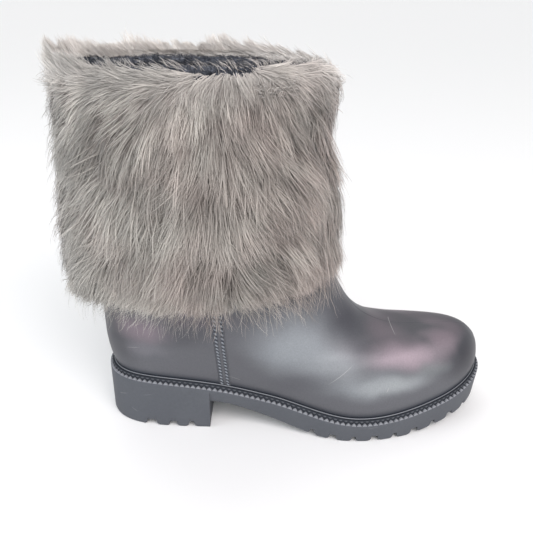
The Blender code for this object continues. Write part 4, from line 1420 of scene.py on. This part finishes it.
pileSpread = dict(
    # how far the chances of a lock, a tuft and a single fibre change it
    tuftTurn=1.5, reach=(0.08, 0.13), rise=(0.24, 0.42, 0.20), tone=(0.20, 0.24, 0.30),
    plainRise=0.68, plainTone=0.62,
    edgeRise=-0.30, edgeShadeTone=(-0.26, -0.12),      # lower between locks, and darker between locks, then tufts, as painted shade
    clearPower=9.0, clearRise=0.75,               # a few hairs stand well clear of the rest
    edge=(0.2, 0.75), loose=(1.2, 3.0, 1.0, 0.4), lockCurve=1.2, tuftCurve=2.0,
    half=0.6, tilt=0.7, taper=(0.25, 1.0, 0.5, 0.17),
)


def pileTree():
    # Pile: fibres stood on the bed, gathered in locks, laid along the comb and lifted to their tips
    tree, add, enter, inputs = newTree("combed_pile", (
        ("Strand", "Object", None), ("Density", "Float", 1e6),
        ("Lock Density", "Float", 4e4), ("Tuft Density", "Float", 8e3),
        ("From", "Float", 0.0), ("To", "Float", 1.0), ("Length", "Float", 1.0), ("Lift", "Float", 1.0),
        ("Width", "Float", 0.00045), ("Swing", "Float", 0.2), ("Stray", "Float", 0.1),
        ("Gather", "Float", 0.6), ("Bend", "Float", 0.3), ("Curl", "Float", 0.0006), ("Seed", "Int", 1),
        ("Material", "Material", None)))
    maths, vectors, s = "ShaderNodeMath", "ShaderNodeVectorMath", pileSpread
    bed = enter["Geometry"]

    def kindOf(name):
        vectorNames = ("comb", "out", "root", "first", "second", "lock", "tuft")
        return "FLOAT_VECTOR" if name in vectorNames else "FLOAT"

    def keptOnes(*names):
        return {name: add("GeometryNodeInputNamedAttribute", {"Name": name}, data_type=kindOf(name))
                for name in names}

    def onBed(value, spot):
        return add("GeometryNodeSampleNearestSurface",
                   {"Mesh": bed, "Value": value, "Sample Position": spot}, data_type="FLOAT_VECTOR")

    def swung(vector, angle):
        return add("ShaderNodeVectorRotate", {"Vector": vector, "Axis": named["out"], "Angle": angle},
                   rotation_type="AXIS_ANGLE")

    named = keptOnes("comb", "out", "pileLength", "lift", "thick", "turn")
    place = add("GeometryNodeInputPosition")
    after = add(maths, {0: named["turn"], 1: enter["From"]}, operation="GREATER_THAN")
    before = add(maths, {0: named["turn"], 1: enter["To"]}, operation="LESS_THAN")
    density = times(add, named["thick"], enter["Density"])
    points = add("GeometryNodeDistributePointsOnFaces", {
        "Mesh": bed, "Density": density, "Selection": times(add, after, before), "Seed": enter["Seed"]})
    # fixed seeds for the locks and tufts, so that they match from one piece to the next
    loose = ramp(add, named["thick"], *s["loose"])
    gathers, chances, edges = [], [], []
    for name, its, share in (("Lock Density", 11, 1.0), ("Tuft Density", 12, 0.5)):
        guides = add("GeometryNodeDistributePointsOnFaces",
                     {"Mesh": bed, "Density": enter[name], "Seed": its})
        nearest = add("GeometryNodeSampleNearest", {"Geometry": guides, "Sample Position": place},
                      domain="POINT")
        middle = add("GeometryNodeSampleIndex", {"Geometry": guides, "Value": place, "Index": nearest},
                     data_type="FLOAT_VECTOR", domain="POINT")
        toMiddle = add(vectors, {0: middle, 1: place}, operation="SUBTRACT")
        away = add(vectors, {0: toMiddle}, "Value", operation="LENGTH")
        spacing = add(maths, {0: enter[name], 1: -0.5}, operation="POWER")
        edges.append(ramp(add, add(maths, {0: away, 1: spacing}, operation="DIVIDE"), *s["edge"]))
        pull = times(add, chance(add, 0.55 * share, share, its), enter["Gather"], loose)
        gathers.append(scaled(add, toMiddle, pull))
        chances += [chance(add, -1.0, 1.0, 20 + its * 5 + number, ID=nearest) for number in range(3)]
    lockTurn, lockLength, lockLift, tuftTurn, tuftLength, tuftLift = chances
    single = [chance(add, -1.0, 1.0, 40 + number) for number in range(6)]
    turned = times(add, summed(add, lockTurn, (tuftTurn, s["tuftTurn"])), enter["Swing"])
    turned = summed(add, turned, (single[0], enter["Stray"]))
    first = swung(named["comb"], turned)
    reach = summed(add, 1.0, *zip((lockLength, single[1]), s["reach"]))
    reach = times(add, reach, named["pileLength"], enter["Length"])
    second = onBed(named["comb"], moved(add, place, first, times(add, reach, s["half"])))
    second = swung(second, summed(add, turned, (lockLift, enter["Bend"])))
    clear = add(maths, {0: chance(add, 0.0, 1.0, 50), 1: s["clearPower"]}, operation="POWER")
    rise = summed(add, s["plainRise"], *zip((lockLift, tuftLift, single[2]), s["rise"]),
                  (edges[0], s["edgeRise"]), (clear, s["clearRise"]))
    rise = times(add, rise, named["lift"], enter["Lift"])
    # tone: random for each lock, tuft and fibre, with painted shade between locks and tufts
    tone = summed(add, s["plainTone"], *zip((lockLength, tuftLength, single[3]), s["tone"]),
                  *zip(edges, s["edgeShadeTone"]))
    values = dict(root=place, first=first, second=second, lock=gathers[0], tuft=gathers[1], reach=reach,
                  rise=rise, tone=tone, tilt=single[4], phase=single[5])
    for name, value in values.items():
        points = add("GeometryNodeStoreNamedAttribute", {"Geometry": points, "Name": name, "Value": value},
                     data_type=kindOf(name), domain="POINT")
    strand = add("GeometryNodeObjectInfo", {"Object": enter["Strand"]}, "Geometry")
    stood = add("GeometryNodeInstanceOnPoints", {"Points": points, "Instance": strand})
    real = add("GeometryNodeRealizeInstances", {0: stood})
    # from here on, every point of every fibre
    own = keptOnes("root", "first", "second", "lock", "tuft", "reach", "rise", "tilt", "phase", "along",
                   "side")
    t = own["along"]
    late = times(add, t, t, 0.5)
    early = add(maths, {0: t, 1: late}, operation="SUBTRACT")
    path = own["root"]
    for name, share in (("first", early), ("second", late)):
        path = moved(add, path, own[name], times(add, share, own["reach"]))
    for name in ("lock", "tuft"):
        share = add(maths, {0: t, 1: s[name + "Curve"]}, operation="POWER")
        path = moved(add, path, own[name], share)
    ground, out = onBed(place, path), onBed(named["out"], path)
    heading = add("ShaderNodeMix", {0: t, 4: own["first"], 5: own["second"]}, 1, data_type="VECTOR")
    across = add(vectors, {0: out, 1: heading}, operation="CROSS_PRODUCT")
    across = add(vectors, {0: across}, operation="NORMALIZE")
    height = summed(add, times(add, t, 2.0), (late, -2.0))
    spot = moved(add, ground, out, times(add, height, own["rise"]))
    # a loose wave along each fibre
    turns = times(add, summed(add, 5.0, (own["phase"], 2.5)), t)
    turns = summed(add, turns, (own["phase"], 9.0))
    wave = times(add, add(maths, {0: turns}, operation="SINE"), t, enter["Curl"])
    spot = moved(add, spot, across, wave)
    # the flat of the fibre, tilted a little either way and narrowing to the tip
    tilt = times(add, own["tilt"], s["tilt"])
    flat = scaled(add, across, add(maths, {0: tilt}, operation="COSINE"))
    flat = moved(add, flat, out, add(maths, {0: tilt}, operation="SINE"))
    narrow = times(add, ramp(add, t, *s["taper"]), enter["Width"], own["side"])
    spot = moved(add, spot, flat, narrow)
    laid = add("GeometryNodeSetPosition", {"Geometry": real, "Position": spot})
    for name in {**named, **own, **values}:
        if name not in ("along", "tone"):
            laid = add("GeometryNodeRemoveAttribute", {"Geometry": laid, "Name": name})
    painted = add("GeometryNodeSetMaterial", {"Geometry": laid, "Material": enter["Material"]})
    add("NodeGroupOutput", {"Geometry": painted})
    return tree, inputs


def furMaterial():
    # Combed acrylic pile: dry, matt fibres that catch light along their length, darker at the root as
    # painted shade where they crowd together, and pale at the fine tips
    made, add, dress = newMaterial("acrylic_faux_fur_combed", 0.75, 0.25)
    where = add("ShaderNodeTexCoord", out="Object")
    tone = keptValue(add, "tone")
    forward = ramp(add, axisOf(add, where, "X"), *fur["forward"])
    warmth = add("ShaderNodeMath", {0: noise(add, where, fur["cloud"], 2.0), 1: forward}, operation="ADD")
    body = blend(add, ramp(add, warmth, 0.3, 0.7), fur["cool"], fur["warm"])

    def shaded(colour, shade, patches):
        # darker and paler places
        for strength, middle, reach in patches:
            shade = times(add, shade, softPlace(add, where, middle, reach, 1.2, 1.0, strength))
        return blend(add, 1.0, colour, shade, "MULTIPLY")

    body = shaded(body, ramp(add, tone, 0.0, 1.0, *fur["lockTone"]), fur["patches"])
    # paler at the rim of the inner side, where light comes through it
    high = ramp(add, axisOf(add, where, "Z"), *fur["rimRise"])
    inner = ramp(add, axisOf(add, where, "Y"), *fur["rimInwards"])
    rimColour = blend(add, 1.0, fur["rim"], ramp(add, tone, 0.0, 1.0, *fur["rimTone"]), "MULTIPLY")
    body = blend(add, times(add, high, inner), body, rimColour)
    body = shaded(body, 1.0, fur["crestPatches"])
    # painted shade deep in the pile: darker towards the root, but not above the rim's height
    rooted = ramp(add, keptValue(add, "along"), 0.05, 0.6, soft=True)
    rooted = add("ShaderNodeMath", {0: rooted, 1: high}, operation="MAXIMUM")
    dress({"Base Color": blend(add, rooted, fur["root"], body),
           "Sheen Weight": 0.55, "Sheen Roughness": 0.5})
    return made


def makeFurBase(material):
    # the closed body that the pile stands on, in place of its backing, dark in the roots' colour as painted
    # shade
    outer = bedRings(fur["baseOuter"], grow=-fur["baseSink"])
    inner = bedRings(fur["baseInner"], scale=0.0)
    rings = np.concatenate((outer, inner))
    faces = closedStack(*rings.shape[:2])
    made = lastPiece("fur_base", rings, faces, material)
    for label, value in (("along", fur["baseAlong"]), ("tone", fur["baseTone"])):
        keepValues(made, label, np.full(rings.size // 3, value))
    return finishPiece(made, "faux_fur", "fur_cuff")


pileLabels = ("Density", "Lock Density", "Tuft Density", "Width", "Swing", "Stray", "Gather", "Bend", "Curl",
              "Seed")
pileKinds = dict(
    # a value for each of the labels; densities are per square metre
    combed=(1.50e6, 3.2e4, 0.5e4, 0.38 * mm, 0.16, 0.16, 0.62, 0.35, 0.9 * mm, 3),
    stray=(0.085e6, 3.2e4, 0.5e4, 0.22 * mm, 0.10, 0.55, 0.05, 0.5, 1.5 * mm, 8),
    crown=(0.95e6, 3.2e4, 0.8e4, 0.46 * mm, 0.3, 0.35, 0.3, 0.35, 0.7 * mm, 9),
    fleece=(1.1e6, 3.0e5, 0.5e5, 0.34 * mm, 0.5, 0.7, 0.5, 0.6, 0.5 * mm, 5),
    rim=(1.7e6, 8.0e4, 4.0e4, 0.22 * mm, 0.2, 0.25, 0.12, 0.2, 0.4 * mm, 6),
)
longStrand, shortStrand = (0.0, 0.3, 0.58, 0.82), (0.0, 0.5)      # places of the points along a fibre
pilePieces = (
    # name, from and to as shares of the way round: toe, outer side, heel, inner side
    ("fur_toe_outer", 0.0, 0.13),
    ("fur_outer_front", 0.13, 0.27),
    ("fur_outer_back", 0.27, 0.40),
    ("fur_heel_outer", 0.40, 0.50),
    ("fur_heel_inner", 0.50, 0.62),
    ("fur_inner_back", 0.62, 0.75),
    ("fur_inner_front", 0.75, 0.87),
    ("fur_toe_inner", 0.87, 1.01),
)


def growPile(name, bed, strand, material, tree, kind, start=-0.01, end=1.01, slotName="faux_fur"):
    holder = bed.copy()
    scene.collection.objects.link(holder)
    values = {"Strand": strand, "From": start, "To": end, "Material": material,
              **dict(zip(pileLabels, pileKinds[kind]))}
    made = applyNodes(holder, (*tree, values), name)
    made.data.shade_smooth()
    finishPiece(made, slotName)
    print(name, sum(len(face.vertices) - 2 for face in made.data.polygons), "triangles")


def makePile(material, tree):
    strand = makeStrand(longStrand)
    bed, strayBed, crownBed = makeFurBed(), makeFurBed(stray=True), makeCrownBed()
    for name, start, end in pilePieces:
        growPile(name, bed, strand, material, tree, "combed", start, end)
    growPile("fur_stray_hairs", strayBed, strand, material, tree, "stray")
    growPile("fur_crown", crownBed, strand, material, tree, "crown")
    for helper in (strand, bed, strayBed, crownBed):
        bpy.data.objects.remove(helper)


# hair of the cuff that falls over the collar's roll, and the roll's own fleece (places in metres)
overCollar = dict(
    furLength=8.0, furLift=3.6, furComb=(-0.5, 0.0, 1.0),
    near=((-0.03, 0.0), (1.0, 0.0)),                 # the outer side, where it leans inwards and back
    nearIn=0.7, nearBack=(-0.7, 0.0, 0.0),
    thinner=((-0.092, -0.072, -0.030, -0.015), (0.75, 0.82, 0.82, 0.4)),
    fromBack=-0.100, backFade=60.0,
    fleeceLength=3.0, fleeceLift=1.4, fleeceLean=0.35,
)


def collarBed(roll, asFur):
    # the rolled collar as a bed for its fleece fibres, or for the fur that falls over it from outside
    s = overCollar
    bed = roll.copy()
    bed.data = roll.data.copy()
    mesh = bed.data
    count = len(mesh.vertices)
    points, normals = np.empty((count, 3), np.float32), np.empty((count, 3), np.float32)
    for label, values in (("co", points), ("normal", normals)):
        mesh.vertices.foreach_get(label, values.ravel())
    rows = rollShape["points"]
    places = points.reshape(rows, count // rows, 3)
    low, high = places[..., 2].min(0), places[..., 2].max(0)
    height = ((places[..., 2] - low) / (high - low)).ravel()
    inwards = np.tile(unit(places[rows // 2] - places[0]), (rows, 1))
    if asFur:
        near = np.interp(points[:, 1], *s["near"])
        comb = np.array(s["furComb"]) + near[:, None] * (inwards * s["nearIn"] + s["nearBack"])
        comb = laidOn(comb, normals)
        outside = np.clip(-(normals * inwards).sum(1) + 0.25, 0.0, 1.0)
        thick = np.clip(height * 4.0 - 2.6, 0.0, 1.0) * np.clip(outside * 3.0, 0.0, 1.0)
        thick *= 1.0 - near * np.interp(points[:, 0], *s["thinner"])
        thick *= np.clip((points[:, 0] - s["fromBack"]) * s["backFade"], 0.0, 1.0)
    else:
        comb = np.array((0.0, 0.0, 1.0)) - normals * normals[:, 2:]
        comb = unit(comb + s["fleeceLean"] * np.cross(normals, (0.0, 0.0, 1.0)))
        thick = np.clip(height * 2.0 - 0.3, 0.0, 1.0)
    kind = "fur" if asFur else "fleece"
    for name, values in (("comb", comb), ("out", normals)):
        keepValues(bed, name, values, "FLOAT_VECTOR")
    for name, values in (("pileLength", np.full(count, s[kind + "Length"]) * mm),
                         ("lift", np.full(count, s[kind + "Lift"] * mm)), ("thick", thick)):
        keepValues(bed, name, values)
    keepValues(bed, "turn", np.full(len(mesh.polygons), 0.5), domain="FACE")
    return bed


def makeCollarPile(roll, fibres, hair, tree):
    for name, asFur, places, material, kind, slotName in (
            ("collar_fleece_fibres", False, shortStrand, fibres, "fleece", "collar_fleece"),
            ("fur_over_collar", True, longStrand, hair, "rim", "faux_fur")):
        strand, bed = makeStrand(places), collarBed(roll, asFur)
        growPile(name, bed, strand, material, tree, kind, 0.0, 1.0, slotName)
        for helper in (strand, bed):
            bpy.data.objects.remove(helper)


def fleeceFibreMaterial():
    # Loose fibre ends of the brushed fleece: slate like the cloth, greyer and paler at the tips
    made, add, dress = newMaterial("polyester_fleece_fibre_ends", 0.9, 0.15)
    pale = times(add, keptValue(add, "along"), keptValue(add, "tone"))
    dress({"Base Color": blend(add, ramp(add, pale, 0.05, 0.9), *fleece["fibre"])})
    return made


acrylicFur = furMaterial()
makeFurBase(acrylicFur)
pile = pileTree()
makePile(acrylicFur, pile)
makeCollarPile(collarRoll, fleeceFibreMaterial(), acrylicFur, pile)
print("fur made")
